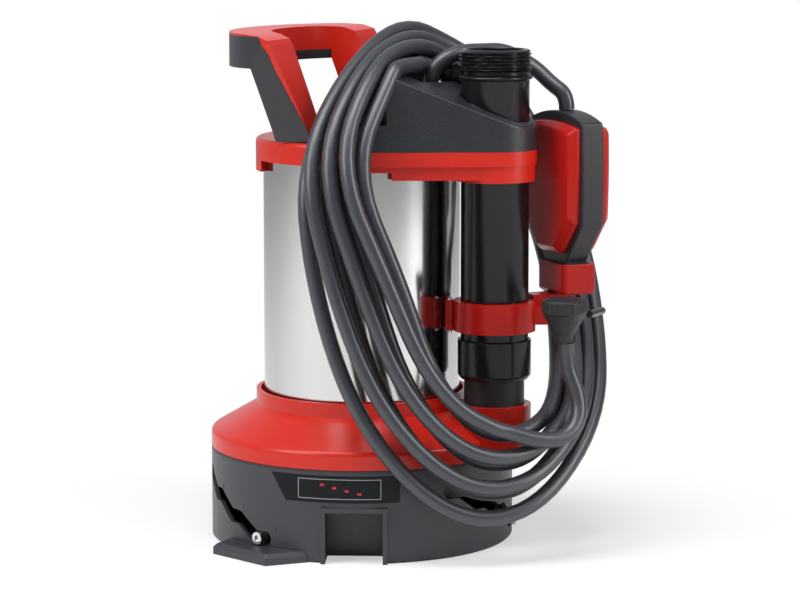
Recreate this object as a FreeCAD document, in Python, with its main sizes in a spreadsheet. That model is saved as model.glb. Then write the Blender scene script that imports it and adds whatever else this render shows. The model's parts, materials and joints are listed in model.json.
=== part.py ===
"""Submersible sump pump with a height-adjustable base, float switch and mains cord.

The origin is on the pump axis at floor level, +Z is up and +X points from the
pump axis to the discharge riser. All sizes are millimetres.
"""
import FreeCAD, Part
import math
import os

import Sketcher
from FreeCAD import Placement, Rotation, Vector

SIZES = [
    # Base shell, its niches, its stepped slots and the foot pedal
    ("base_radius", "102", "outer radius of the base shell"),
    ("base_wall", "3", "wall of the base shell"),
    ("base_height", "60", "height of the base shell's rim"),
    ("base_floor", "3", "thickness of the base's floor ring"),
    ("base_floor_radius", "72", "inner radius of the base's floor ring"),
    ("foot_chamfer", "1.5", "chamfer round the foot of the base"),
    ("niche_width", "37.6", "clear width of each suction niche"),
    ("niche_height", "33.9", "clear height of each suction niche"),
    ("niche_depth", "25", "depth of a niche from the outside"),
    ("niche_wall", "2", "wall of the niche housings"),
    ("niche_frame", "3", "width of the raised frame round a niche"),
    ("niche_frame_proud", "0.8", "height of the raised frame"),
    ("niche_angle", "52.5", "direction of the first niche, degrees"),
    ("slot_width", "9.4", "width of the stepped slots"),
    ("slot_low_height", "12.5", "height of the lowest step's centre"),
    ("slot_step", "10.5", "rise from one step to the next"),
    ("slot_step_count", "3", "rises in each slot"),
    ("slot_turn", "42", "turn from the lowest step to the highest, degrees"),
    ("slot_flat_turn", "5.1", "length of a flat step, degrees"),
    ("slot_overlap", "0.05", "turn by which a slope of a slot runs into its flats, degrees"),
    ("slot_angle", "14.4", "direction of the first screw at rest, degrees"),
    ("pedal_start", "236", "direction where the foot pedal starts, degrees"),
    ("pedal_near", "241", "direction of the pedal's first outer corner, degrees"),
    ("pedal_far", "265", "direction of the pedal's second outer corner, degrees"),
    ("pedal_end", "275.5", "direction where the foot pedal ends, degrees"),
    ("pedal_near_reach", "19", "reach of the first corner beyond the base shell"),
    ("pedal_far_reach", "22", "reach of the second corner beyond the base shell"),
    ("pedal_thickness", "7.5", "thickness of the pedal"),
    ("pedal_chamfer", "2.5", "chamfer along the pedal's top edge"),
    # Guide ring and lift ring
    ("guide_ring_thickness", "1.5", "thickness of the ring on the base's rim"),
    ("guide_ring_inner", "96.6", "inner radius of the guide ring"),
    ("lift_ring_radius", "96", "outer radius of the lift ring"),
    ("lift_ring_wall", "3", "wall of the lift ring"),
    ("lift_ring_bottom", "38", "height of the lift ring's lower edge"),
    ("lift_ring_top", "70", "height of the lift ring's upper edge"),
    ("lift_leg_bottom", "6.5", "height of the legs' lower ends"),
    ("lift_leg_turn", "12", "width of a leg, degrees"),
    ("screw_shank", "2.25", "shank radius of the guide screws"),
    ("screw_head", "4", "head radius of the guide screws"),
    ("screw_head_height", "3", "head height of the guide screws"),
    # Wet end
    ("intake_bottom", "4", "height of the intake plate above the floor"),
    ("intake_thickness", "3", "thickness of the intake plate"),
    ("volute_radius", "62", "outer radius of the volute housing"),
    ("volute_wall", "4", "wall of the volute housing"),
    ("volute_top", "58", "height of the volute housing's top"),
    ("volute_cavity_radius", "48", "radius of the impeller chamber"),
    ("volute_cavity_top", "36", "height of the impeller chamber's roof"),
    ("intake_radius", "20", "radius of the suction eye"),
    ("impeller_radius", "38", "radius of the impeller"),
    ("impeller_bottom", "13", "height of the impeller vanes' lower edge"),
    ("impeller_disc_top", "32", "height of the impeller disc's top"),
    ("impeller_disc", "3.5", "thickness of the impeller disc"),
    ("impeller_hub", "12", "radius of the impeller hub"),
    ("vane_thickness", "2.5", "thickness of the impeller vanes"),
    ("vane_count", "6", "number of impeller vanes"),
    ("shaft_radius", "7.5", "radius of the motor shaft"),
    ("running_clearance", "0.05", "radial clearance of the shaft in its bearings"),
    ("seal_radius", "14", "outer radius of the shaft seal"),
    ("seal_height", "9", "height of the shaft seal"),
    # Motor
    ("shell_radius", "66", "outer radius of the steel motor shell"),
    ("shell_wall", "1.5", "wall of the motor shell"),
    ("shell_bottom", "94", "height of the shell's lower edge"),
    ("shell_top", "258", "height of the shell's upper edge"),
    ("gasket", "2", "height of the shell's two gaskets"),
    ("seat_clearance", "0.1", "clearance of pieces seated in the shell"),
    ("bridge_bottom", "88.3", "height of the lower bearing bridge's underside"),
    ("bridge_plate", "6", "thickness of the bearing bridges' plates"),
    ("bearing_radius", "17.5", "outer radius of the ball bearings"),
    ("bearing_width", "11", "width of the ball bearings"),
    ("lower_bearing_bottom", "93", "height of the lower bearing"),
    ("upper_bearing_bottom", "224", "height of the upper bearing"),
    ("stator_bottom", "128", "height of the stator core's lower face"),
    ("stator_height", "70", "length of the stator core"),
    ("stator_bore", "28", "bore radius of the stator core"),
    ("air_gap", "0.8", "gap between the rotor and the stator"),
    ("winding_inner", "32", "inner radius of the end windings"),
    ("winding_outer", "54", "outer radius of the end windings"),
    ("winding_height", "20", "height of an end winding"),
    ("capacitor_radius", "9.5", "radius of the run capacitor"),
    ("capacitor_length", "58", "length of the run capacitor"),
    # Dome
    ("dome_bottom", "61.8", "height of the dome's lower edge"),
    ("dome_band_top", "72.8", "height where the dome's band ends"),
    ("dome_slope_top", "90.5", "height where the dome's slope ends"),
    ("dome_neck_radius", "71.5", "outer radius of the dome's neck"),
    ("dome_neck_top", "100", "height of the dome's neck"),
    ("dome_wall", "3", "wall of the dome"),
    ("dome_round", "4", "rounding of the dome's shoulder"),
    ("riser_boss_radius", "24.5", "radius of the dome's boss round the riser"),
    ("riser_boss_bottom", "64", "height of the boss's lower face"),
    ("riser_boss_top", "96", "height of the boss's upper face"),
    ("dome_flange", "60", "inner radius of the dome's seat for the shell"),
    ("neck_radius", "40", "outer radius of the motor neck"),
    ("neck_bore", "16", "bore radius of the motor neck"),
    ("neck_flange", "52", "radius of the motor neck's flanges"),
    ("neck_plate", "5", "thickness of the motor neck's flanges"),
    ("bridge_hub", "24", "radius of the bearing hubs"),
    ("nut_radius", "11", "corner radius of the impeller nut"),
    ("nut_height", "3.5", "height of the impeller nut"),
    ("shaft_bottom", "8.5", "height of the shaft's lower end"),
    ("shaft_top", "236", "height of the shaft's upper end"),
    # Riser
    ("riser_offset", "97.3", "distance from the pump axis to the riser axis"),
    ("riser_radius", "22.5", "outer radius of the riser pipe"),
    ("pipe_wall", "3.5", "wall of the riser pipes"),
    ("fit_gap", "0.3", "clearance where a pipe passes through a cover"),
    ("lower_riser_radius", "20", "outer radius of the lower riser"),
    ("lower_riser_top", "125", "height of the lower riser's upper end"),
    ("elbow_radius", "13", "outer radius of the lower riser's bend"),
    ("riser_bend", "26", "radius of the lower riser's bend"),
    ("riser_bend_top", "92.5", "height where the bend begins"),
    ("riser_bend_turn", "50", "turn of the bend, degrees"),
    ("riser_stub", "48", "length of the straight part below the bend"),
    ("sleeve_radius", "24.35", "outer radius of the coupling sleeve"),
    ("sleeve_bottom", "112.8", "height of the sleeve's lower end"),
    ("sleeve_top", "139.4", "height of the sleeve's upper end"),
    ("socket_gap", "0.05", "clearance of the pipes in the sleeve"),
    ("thread_radius", "23.9", "outer radius of the discharge thread"),
    ("spigot_flange_radius", "24.6", "radius of the ring under the thread"),
    ("spigot_flange_bottom", "311.5", "height of that ring's lower face"),
    ("spigot_flange_height", "2.6", "height of that ring"),
    ("spigot_neck_radius", "22", "radius of the plain neck under the thread"),
    ("thread_bottom", "316.8", "height where the discharge thread begins"),
    ("socket_stop", "2", "thickness of the stop between the pipes in the sleeve"),
    ("stop_gap", "0.1", "gap between the riser pipe and that stop"),
    ("overall_spigot_top", "331", "height of the spigot's rim"),
    # Head
    ("cap_radius", "71", "radius of the cap round the motor"),
    ("cap_riser_radius", "28", "radius of the cap round the riser"),
    ("cap_band_bottom", "256", "height of the cap band's lower edge"),
    ("cap_band_top", "265.5", "height of the cap band's upper edge"),
    ("cap_raised_top", "270.5", "height of the cap's raised rear"),
    ("cap_skirt_bottom", "248.5", "height of the cap's rear skirt"),
    ("cap_under_inset", "2.5", "inset of the bridge below the band"),
    ("cover_peak", "316", "height of the cover's peak"),
    ("cover_peak_x", "42.5", "place of the peak along X"),
    ("cover_slope", "0.43", "fall of the cover's top towards the riser"),
    ("cover_notch_floor", "298", "height of the floor behind the cover's ridge"),
    ("cover_saddle_floor", "283", "height of the cover where the coil lies over it"),
    # Handle
    ("handle_centre_x", "-26", "centre of the bail's ellipses along X"),
    ("handle_reach", "60", "outer half length of the bail along X"),
    ("handle_half_width", "81", "outer half width of the bail along Y"),
    ("handle_bar", "27", "width of the bar in plan"),
    ("handle_leg_inner", "49", "inner half width between the legs"),
    ("handle_underside", "318", "height of the bar's underside"),
    ("handle_top", "341", "height of the bar's top"),
    ("grip_skin", "4", "thickness of the grip panel"),
    # Holder clamp
    ("clamp_bottom", "145", "height of the clamp's lower face"),
    ("clamp_height", "20", "height of the clamp"),
    ("clamp_radius", "27.2", "outer radius of the clamp"),
    ("clamp_ear", "8.5", "reach of the clamp's ear beyond its ring"),
    ("clamp_turn", "25.5", "direction of the clamp's ears, degrees"),
    ("hinge_offset", "29.5", "distance from the riser axis to the hinge pin"),
    ("knuckle_radius", "3.2", "radius of the hinge knuckles"),
    ("pin_radius", "1.5", "radius of the hinge pin"),
    ("cup_bottom", "168", "height of the cup's underside"),
    ("cup_height", "20.6", "height of the cup"),
    ("cup_wall", "2.5", "wall of the cup"),
    ("cup_gap", "0.8", "clearance of the float in the cup"),
    # Float switch
    ("float_x", "134.1", "place of the float along X"),
    ("float_y", "36.4", "place of the float along Y"),
    ("float_turn", "50.5", "direction across the float's shells, degrees"),
    ("float_bottom", "171", "height of the float's lower end"),
    ("float_top", "290", "height of the float's upper end"),
    ("float_half_width", "38", "half width of the float"),
    ("band_round", "11", "rounding of the float band's shoulders"),
    ("shell_round", "8", "rounding of the float shells' corners"),
    ("shell_bevel", "4", "bevel round the float shells' faces"),
    ("float_half_depth", "17", "half depth of the float across its shells"),
    ("band_width", "18", "width of the float's black band"),
    ("tongue_half_width", "15", "half width of the band's lower end"),
    # Cords
    ("cord_radius", "5.2", "radius of the float cord and the mains cord"),
    ("front_turn", "25.5", "turn of the frame that the cord routes are given in, degrees"),
    ("cord_gland_radius", "9", "half width of a cord gland's nut"),
    ("cord_gland_nut_height", "5", "height of a cord gland's nut"),
    ("cord_gland_collar_radius", "7.5", "radius of a cord gland's collar"),
    ("cord_gland_top", "306", "height of the float cord gland's face"),
    ("relief_base_radius", "8.5", "radius of the strain relief at its foot"),
    ("relief_end_radius", "6.3", "radius of the strain relief at its free end"),
    ("relief_rib_radius", "8.2", "radius of the strain relief's ribs"),
    ("relief_rib_width", "2", "width of a strain relief rib"),
    ("relief_ribs", "4", "ribs on the strain relief"),
    ("plug_neck_radius", "6.6", "radius of the plug where the cord leaves"),
    ("plug_radius", "13.4", "radius of the plug's round body"),
    ("plug_neck_height", "6", "height of the plug's neck"),
    ("plug_taper_height", "16", "height of the plug's taper"),
    ("plug_rim_height", "7", "height of the plug's rim"),
    ("plug_face_depth", "14.5", "distance from the plug's axis to its pin face"),
    ("plug_face_turn", "-30", "turn of the plug's pin face from straight back, degrees"),
    ("plug_pin_radius", "2.4", "radius of a plug pin"),
    ("plug_pin_length", "19", "length of a plug pin"),
    ("plug_pin_spread", "9.5", "half the distance between the plug's pins"),
    ("coil_column_count", "4", "turns in each layer of the coil"),
    ("coil_end_run", "8", "straight run where a lead joins the coil"),
    ("coil_reversal", "0.5", "turns in which the coil climbs between layers"),
    ("coil_bulge", "0.2", "columns by which the climbing turn stands out"),
    ("coil_layer_pitch", "12.2", "distance between the coil's two layers"),
]

# A length greater than the whole pump, for cuts that run right through
BEYOND = 400

doc = FreeCAD.newDocument("submersible_sump_pump")
sheet = doc.addObject("Spreadsheet::Sheet", "Sizes")


def fill_sheet():
    """Writes every driving size to the sheet, with its meaning beside it."""
    for row, (alias, value, meaning) in enumerate(SIZES, start=1):
        sheet.set("A%d" % row, meaning)
        sheet.set("B%d" % row, value)
        sheet.setAlias("B%d" % row, alias)
    doc.recompute()


fill_sheet()


class Dim:
    """A size that knows its number and the sheet expression that gives it."""

    def __init__(self, value, text):
        self.value = value
        self.text = text

    @staticmethod
    def of(other):
        """Wraps a plain number; a Dim comes back as it is."""
        if isinstance(other, Dim):
            return other
        return Dim(float(other), "%.6f" % other)

    def __add__(self, other):
        other = Dim.of(other)
        return Dim(self.value + other.value, "(%s + %s)" % (self.text, other.text))

    def __sub__(self, other):
        other = Dim.of(other)
        return Dim(self.value - other.value, "(%s - %s)" % (self.text, other.text))

    def __mul__(self, other):
        other = Dim.of(other)
        return Dim(self.value * other.value, "(%s * %s)" % (self.text, other.text))

    def __truediv__(self, other):
        other = Dim.of(other)
        return Dim(self.value / other.value, "(%s / %s)" % (self.text, other.text))

    def __rsub__(self, other):
        return Dim.of(other) - self

    def __neg__(self):
        return Dim(-self.value, "(-1 * %s)" % self.text)

    __radd__ = __add__
    __rmul__ = __mul__

    def __float__(self):
        return self.value


def size(alias):
    """The size of this name, bound to its cell."""
    return Dim(float(sheet.get(alias)), "Sizes.%s" % alias)


def add_body(label, x=None, turn=None):
    """A body of this label, moved along X or turned about Z by a bound size."""
    body = doc.addObject("PartDesign::Body", label)
    body.Label = label
    if x is not None:
        body.setExpression("Placement.Base.x", x.text)
    if turn is not None:
        body.Placement.Rotation = Rotation(Vector(0, 0, 1), 1)
        body.setExpression("Placement.Rotation.Angle", turn.text)
    return body


def origin_plane(body, role):
    """The origin feature of a body that has this role."""
    return next(item for item in body.Origin.OriginFeatures if item.Role == role)


def bind_constraint(sketch, kind, places, dim):
    """Adds a dimension to a sketch and binds it to the size's expression."""
    index = sketch.addConstraint(Sketcher.Constraint(kind, *places, float(dim)))
    sketch.setExpression("Constraints[%d]" % index, dim.text)


def pin_point(sketch, edge, x, y):
    """Fixes the start of an edge at a bound place; zero lies on the axis."""
    for kind, axis, value in (("DistanceX", -2, x), ("DistanceY", -1, y)):
        dim = Dim.of(value)
        if abs(dim.value) < 1e-9:
            sketch.addConstraint(Sketcher.Constraint("PointOnObject", edge, 1, axis))
        else:
            bind_constraint(sketch, kind, (-1, 1, edge, 1), dim)


def new_sketch(body, name, plane, offset=None):
    """An empty sketch on an origin plane, moved off it by a bound size."""
    sketch = body.newObject("Sketcher::SketchObject", name)
    sketch.AttachmentSupport = [(origin_plane(body, plane), "")]
    sketch.MapMode = "FlatFace"
    if offset is not None:
        sketch.setExpression("AttachmentOffset.Base.z", offset.text)
    return sketch


def add_polygon(sketch, points):
    """Draws a closed outline through bound points in an open sketch."""
    first = len(sketch.Geometry)
    count = len(points)
    places = [Vector(float(x), float(y), 0) for x, y in points]
    for i in range(count):
        sketch.addGeometry(Part.LineSegment(places[i], places[(i + 1) % count]), False)
    for i in range(count):
        after = first + (i + 1) % count
        sketch.addConstraint(Sketcher.Constraint("Coincident", first + i, 2, after, 1))
    for i, (x, y) in enumerate(points):
        pin_point(sketch, first + i, x, y)


def add_circle(sketch, x, y, radius):
    """Draws a bound circle in an open sketch."""
    centre = Vector(float(x), float(y), 0)
    edge = sketch.addGeometry(Part.Circle(centre, Vector(0, 0, 1), float(radius)), False)
    bind_constraint(sketch, "Radius", (edge,), Dim.of(radius))
    for kind, axis, value in (("DistanceX", -2, x), ("DistanceY", -1, y)):
        dim = Dim.of(value)
        if abs(dim.value) < 1e-9:
            sketch.addConstraint(Sketcher.Constraint("PointOnObject", edge, 3, axis))
        else:
            bind_constraint(sketch, kind, (-1, 1, edge, 3), dim)


def polygon_sketch(body, name, plane, points, offset=None):
    """A sketch that holds one closed outline."""
    sketch = new_sketch(body, name, plane, offset)
    add_polygon(sketch, points)
    return sketch


def circle_sketch(body, name, plane, circles, offset=None):
    """A sketch that holds circles, given as x, y and radius."""
    sketch = new_sketch(body, name, plane, offset)
    for x, y, radius in circles:
        add_circle(sketch, x, y, radius)
    return sketch


def revolve(body, name, points, groove=False):
    """Turns an outline of radius and height round the body's Z axis."""
    sketch = polygon_sketch(body, name + "_outline", "XZ_Plane", points)
    kind = "PartDesign::Groove" if groove else "PartDesign::Revolution"
    feature = body.newObject(kind, name)
    feature.Profile = sketch
    feature.ReferenceAxis = (sketch, ["V_Axis"])
    feature.Angle = 360
    return feature


def extrude(body, name, sketch, length, cut=False, back=False):
    """Pads or pockets a sketch by a bound length; back reverses it."""
    feature = body.newObject("PartDesign::Pocket" if cut else "PartDesign::Pad", name)
    feature.Profile = sketch
    feature.Length = float(length)
    feature.setExpression("Length", Dim.of(length).text)
    feature.Reversed = back
    return feature


def polar(body, name, features, count):
    """Repeats features round the body's Z axis, a whole turn."""
    pattern = body.newObject("PartDesign::PolarPattern", name)
    pattern.Originals = features
    pattern.Axis = (origin_plane(body, "Z_Axis"), [""])
    pattern.Angle = 360
    pattern.Occurrences = int(round(float(count)))
    if isinstance(count, Dim):
        pattern.setExpression("Occurrences", count.text)
    body.Tip = pattern
    return pattern


def turned(label, points, x=None):
    """A body made of one revolved outline."""
    body = add_body(label, x)
    revolve(body, label + "_turning", points)
    return body


def ring(label, inner, outer, low, high, x=None):
    """A plain ring or disc between two heights."""
    points = [(inner, low), (outer, low), (outer, high), (inner, high)]
    return turned(label, points, x)


def shape_part(label, shape):
    """A sub-part whose shape is worked out from the sheet in code."""
    part = doc.addObject("Part::Feature", label)
    part.Label = label
    placement = shape.Placement
    part.Shape = shape
    part.Placement = placement
    return part


def boolean(label, kind, base, tool):
    """Cuts, fuses or intersects two objects into a sub-part of this label."""
    result = doc.addObject("Part::" + kind, label)
    result.Label = label
    result.Base = base
    result.Tool = tool
    return result


def cylinder(radius, low, high, x=0.0, y=0.0):
    """An upright cylinder shape between two heights."""
    base = Vector(float(x), float(y), float(low))
    return Part.makeCylinder(float(radius), float(high) - float(low), base)


def radial_placement(angle, radius, height):
    """A frame whose X points outward at this direction, at this place."""
    turn = Rotation(Vector(0, 0, 1), angle)
    return Placement(turn.multVec(Vector(radius, 0, height)), turn)


# Base shell

def slot_segment(angle, turn, height, rise):
    """One straight stretch of a stepped slot, cut outward through the wall."""
    half = float(size("slot_width")) / 2
    radius = float(size("base_radius"))
    run = math.radians(turn) * radius
    reach = math.hypot(run, rise) / 2
    depth = 4 * float(size("base_wall"))
    edges = [
        Part.LineSegment(Vector(0, -reach, -half), Vector(0, reach, -half)).toShape(),
        Part.Arc(Vector(0, reach, -half), Vector(0, reach + half, 0), Vector(0, reach, half)).toShape(),
        Part.LineSegment(Vector(0, reach, half), Vector(0, -reach, half)).toShape(),
        Part.Arc(Vector(0, -reach, half), Vector(0, -reach - half, 0), Vector(0, -reach, -half)).toShape(),
    ]
    shape = Part.Face(Part.Wire(edges)).extrude(Vector(depth, 0, 0))
    tilt = Rotation(Vector(1, 0, 0), math.degrees(math.atan2(rise, run)))
    shape.Placement = radial_placement(angle, radius - depth / 2, height).multiply(
        Placement(Vector(0, 0, 0), tilt))
    return shape


def stepped_slots():
    """Three stepped slots: flats that hold the screws, joined by slopes."""
    steps = int(float(size("slot_step_count")))
    turn = float(size("slot_turn"))
    flat = float(size("slot_flat_turn"))
    rise = float(size("slot_step"))
    low = float(size("slot_low_height"))
    pitch = turn / steps
    slope = pitch - flat + float(size("slot_overlap"))
    pieces = []
    for k in range(steps + 1):
        here = -k * pitch
        pieces.append(slot_segment(here, flat, low + k * rise, 0.0))
        if k < steps:
            pieces.append(slot_segment(here - pitch / 2, slope, low + (k + 0.5) * rise, -rise))
    one = pieces[0]
    for piece in pieces[1:]:
        one = one.fuse(piece)
    slots = []
    for k in range(3):
        copy = one.copy()
        copy.rotate(Vector(0, 0, 0), Vector(0, 0, 1), float(size("slot_angle")) + 120 * k)
        slots.append(copy)
    return Part.makeCompound(slots)


def build_base_shell():
    """The cup that stands on the floor, with niches and stepped slots."""
    outer = size("base_radius")
    inner = outer - size("base_wall")
    floor_top = size("base_floor")
    foot = size("foot_chamfer")
    body = add_body("base_shell_blank", turn=size("niche_angle"))
    revolve(body, "base_cup", [
        (size("base_floor_radius"), 0),
        (outer - foot, 0),
        (outer, foot),
        (outer, size("base_height")),
        (inner, size("base_height")),
        (inner, floor_top),
        (size("base_floor_radius"), floor_top),
    ])
    half = size("niche_width") / 2
    top = size("niche_height")
    wall = size("niche_wall")
    frame = size("niche_frame")
    back = outer - size("niche_depth") - wall
    housing = polygon_sketch(body, "niche_housing_outline", "YZ_Plane", [
        (-(half + wall), 0), (half + wall, 0), (half + wall, top + wall), (-(half + wall), top + wall),
    ], back)
    housing_pad = extrude(body, "niche_housing", housing, size("niche_depth") - size("base_wall") / 2)
    rim = polygon_sketch(body, "niche_frame_outline", "YZ_Plane", [
        (-(half + frame), 0), (half + frame, 0), (half + frame, top + frame), (-(half + frame), top + frame),
    ], outer - size("base_wall") * 2)
    rim_pad = extrude(body, "niche_frame_pad", rim, size("base_wall") * 2 + size("niche_frame_proud"))
    polar(body, "niche_pads", [housing_pad, rim_pad], 3)
    mouth = polygon_sketch(body, "niche_mouth", "YZ_Plane", [
        (-half, -1), (half, -1), (half, top), (-half, top),
    ], outer - size("niche_depth"))
    mouth_cut = extrude(body, "niche_cut", mouth, size("niche_depth") + 5, cut=True, back=True)
    polar(body, "niche_cuts", [mouth_cut], 3)
    cutter = shape_part("slot_cutter", stepped_slots())
    return boolean("base_shell", "Cut", body, cutter)


def build_foot_pedal():
    """The foot plate moulded on the base, to hold it down while it is turned."""
    inner = float(size("base_radius")) + 0.02
    thick = float(size("pedal_thickness"))
    chamfer = float(size("pedal_chamfer"))
    start = float(size("pedal_start"))
    end = float(size("pedal_end"))

    def at(angle, radius):
        return Vector(radius * math.cos(math.radians(angle)), radius * math.sin(math.radians(angle)), 0)

    points = [
        at(start, inner),
        at(float(size("pedal_near")), inner + float(size("pedal_near_reach"))),
        at(float(size("pedal_far")), inner + float(size("pedal_far_reach"))),
        at(end, inner),
    ]
    edges = [Part.LineSegment(a, b).toShape() for a, b in zip(points, points[1:])]
    middle = at((start + end) / 2, inner)
    edges.append(Part.Arc(points[-1], middle, points[0]).toShape())
    plate = Part.Face(Part.Wire(edges)).extrude(Vector(0, 0, thick))
    rim = [edge for edge in plate.Edges
           if edge.BoundBox.ZMin > thick - 0.01 and edge.Curve.TypeId == "Part::GeomLine"]
    return shape_part("foot_pedal", plate.makeChamfer(chamfer, rim))


# Guide ring, lift ring and guide screws

def build_guide_ring():
    low = size("base_height")
    return ring("guide_ring", size("guide_ring_inner"), size("base_radius"), low,
                low + size("guide_ring_thickness"))


def build_lift_ring():
    """The ring under the dome whose three legs carry the guide screws."""
    outer = float(size("lift_ring_radius"))
    inner = outer - float(size("lift_ring_wall"))
    web_low = float(size("volute_top"))
    wall = cylinder(outer, size("lift_ring_bottom"), size("lift_ring_top"))
    wall = wall.cut(cylinder(inner, 0, BEYOND))
    web = cylinder(outer, web_low, web_low + float(size("lift_ring_wall")))
    web = web.cut(cylinder(float(size("neck_flange")) + 0.5, 0, BEYOND))
    shape = wall.fuse(web)
    half = float(size("lift_leg_turn")) / 2
    shank = float(size("screw_shank"))
    boss_radius = float(size("slot_width")) / 2 - 0.6
    for k in range(3):
        angle = float(size("slot_angle")) + 120 * k
        leg = Part.makeCylinder(outer, float(size("lift_ring_bottom")) - float(size("lift_leg_bottom")),
                                Vector(0, 0, float(size("lift_leg_bottom"))), Vector(0, 0, 1), 2 * half)
        leg = leg.cut(cylinder(inner, 0, BEYOND))
        leg.rotate(Vector(0, 0, 0), Vector(0, 0, 1), angle - half)
        boss = Part.makeCylinder(boss_radius, 2.7 + outer - inner, Vector(0, 0, 0), Vector(1, 0, 0))
        boss.Placement = radial_placement(angle, inner, float(size("slot_low_height")))
        hole = Part.makeCylinder(shank + 0.05, 20, Vector(-5, 0, 0), Vector(1, 0, 0))
        hole.Placement = radial_placement(angle, inner, float(size("slot_low_height")))
        shape = shape.fuse(leg).fuse(boss).cut(hole)
    boss_radius = float(size("riser_boss_radius")) + float(size("fit_gap"))
    boss_room = cylinder(boss_radius, size("volute_top"), BEYOND, size("riser_offset"))
    shape = shape.cut(riser_clearance()).cut(boss_room)
    return shape_part("lift_ring", shape)


def build_guide_screws():
    """Three socket screws that run in the stepped slots."""
    shank = float(size("screw_shank"))
    head = float(size("screw_head"))
    tall = float(size("screw_head_height"))
    start = float(size("lift_ring_radius")) - float(size("lift_ring_wall")) - 2
    seat = float(size("base_radius")) + 0.4
    screws = []
    for k in range(3):
        rod = Part.makeCylinder(shank, seat - start, Vector(0, 0, 0), Vector(1, 0, 0))
        cap = Part.makeCylinder(head, tall, Vector(seat - start, 0, 0), Vector(1, 0, 0))
        socket = Part.makeCylinder(head / 2, tall / 2, Vector(seat - start + tall / 2, 0, 0), Vector(1, 0, 0))
        screw = rod.fuse(cap).cut(socket)
        screw.Placement = radial_placement(float(size("slot_angle")) + 120 * k, start,
                                           float(size("slot_low_height")))
        screws.append(screw)
    return shape_part("guide_screws", Part.makeCompound(screws))


# Wet end: intake, volute, impeller and seal

def riser_path_points():
    """Where the lower riser bends from the volute's outlet to the upright."""
    x = float(size("riser_offset"))
    bend = float(size("riser_bend"))
    top = float(size("riser_bend_top"))
    turn = math.radians(float(size("riser_bend_turn")))
    end = Vector(x - bend + bend * math.cos(turn), 0, top - bend * math.sin(turn))
    direction = Vector(-math.sin(turn), 0, -math.cos(turn))
    return Vector(x, 0, top), end, direction


def riser_tube(upright_radius, bend_radius):
    """A bent solid rod along the lower riser, up to its top end."""
    top, end, direction = riser_path_points()
    bend = float(size("riser_bend"))
    turn = float(size("riser_bend_turn"))
    upright = cylinder(upright_radius, top.z, size("lower_riser_top"), top.x)
    ring_face = Part.Face(Part.Wire([Part.makeCircle(bend_radius, top, Vector(0, 0, 1))]))
    elbow = ring_face.revolve(top - Vector(bend, 0, 0), Vector(0, 1, 0), turn)
    stub = Part.makeCylinder(bend_radius, float(size("riser_stub")), end, direction)
    return upright.fuse(elbow).fuse(stub)


def riser_clearance():
    """The room that the lower riser takes, with a clearance round it."""
    gap = float(size("fit_gap"))
    return riser_tube(float(size("lower_riser_radius")) + gap, float(size("elbow_radius")) + gap)


def build_lower_riser():
    """The bent tube that leads from the volute up through the dome."""
    wall = float(size("pipe_wall"))
    outer = float(size("lower_riser_radius"))
    elbow = float(size("elbow_radius"))
    shape = riser_tube(outer, elbow).cut(riser_tube(elbow - wall, elbow - wall))
    wide_low = float(size("riser_bend_top")) + wall
    shape = shape.cut(cylinder(outer - wall, wide_low, size("lower_riser_top"), size("riser_offset")))
    shape = shape.cut(cylinder(size("volute_radius"), 0, BEYOND))
    return shape_part("lower_riser", shape)


def build_volute_housing():
    """The pump casing: impeller chamber below, seal seat above, outlet at +X."""
    low = size("intake_bottom") + size("intake_thickness")
    body = turned("volute_blank", [
        (size("volute_cavity_radius"), low),
        (size("volute_radius"), low),
        (size("volute_radius"), size("volute_top")),
        (size("seal_radius"), size("volute_top")),
        (size("seal_radius"), size("volute_top") - size("seal_height")),
        (size("shaft_radius") + 1.5, size("volute_top") - size("seal_height")),
        (size("shaft_radius") + 1.5, size("volute_cavity_top")),
        (size("volute_cavity_radius"), size("volute_cavity_top")),
    ])
    top, end, direction = riser_path_points()
    bore = float(size("elbow_radius")) - float(size("pipe_wall"))
    boss = Part.makeCylinder(float(size("elbow_radius")), float(size("riser_stub")), end, direction)
    wall = cylinder(size("volute_radius"), 0, end.z).cut(cylinder(float(size("neck_flange")) + 0.5, 0, end.z))
    blank = boolean("volute_with_boss", "Fuse", body, shape_part("outlet_boss", boss.common(wall)))
    outlet = Part.makeCylinder(bore, float(size("riser_stub")), end, direction)
    return boolean("volute_housing", "Cut", blank, shape_part("volute_outlet", outlet))


def build_intake_plate():
    """The plate under the volute with its ring of suction slots."""
    radius = size("volute_radius") - 2
    body = add_body("intake_plate")
    disc = circle_sketch(body, "intake_outline", "XY_Plane", [(0, 0, radius)], size("intake_bottom"))
    extrude(body, "intake_disc", disc, size("intake_thickness"))
    slot = polygon_sketch(body, "intake_slot", "XY_Plane", [
        (8, -2), (size("intake_radius"), -2), (size("intake_radius"), 2), (8, 2),
    ], size("intake_bottom") - 1)
    cut = extrude(body, "intake_slot_cut", slot, size("intake_thickness") + 2, cut=True, back=True)
    polar(body, "intake_slots", [cut], 10)
    return body


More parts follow.
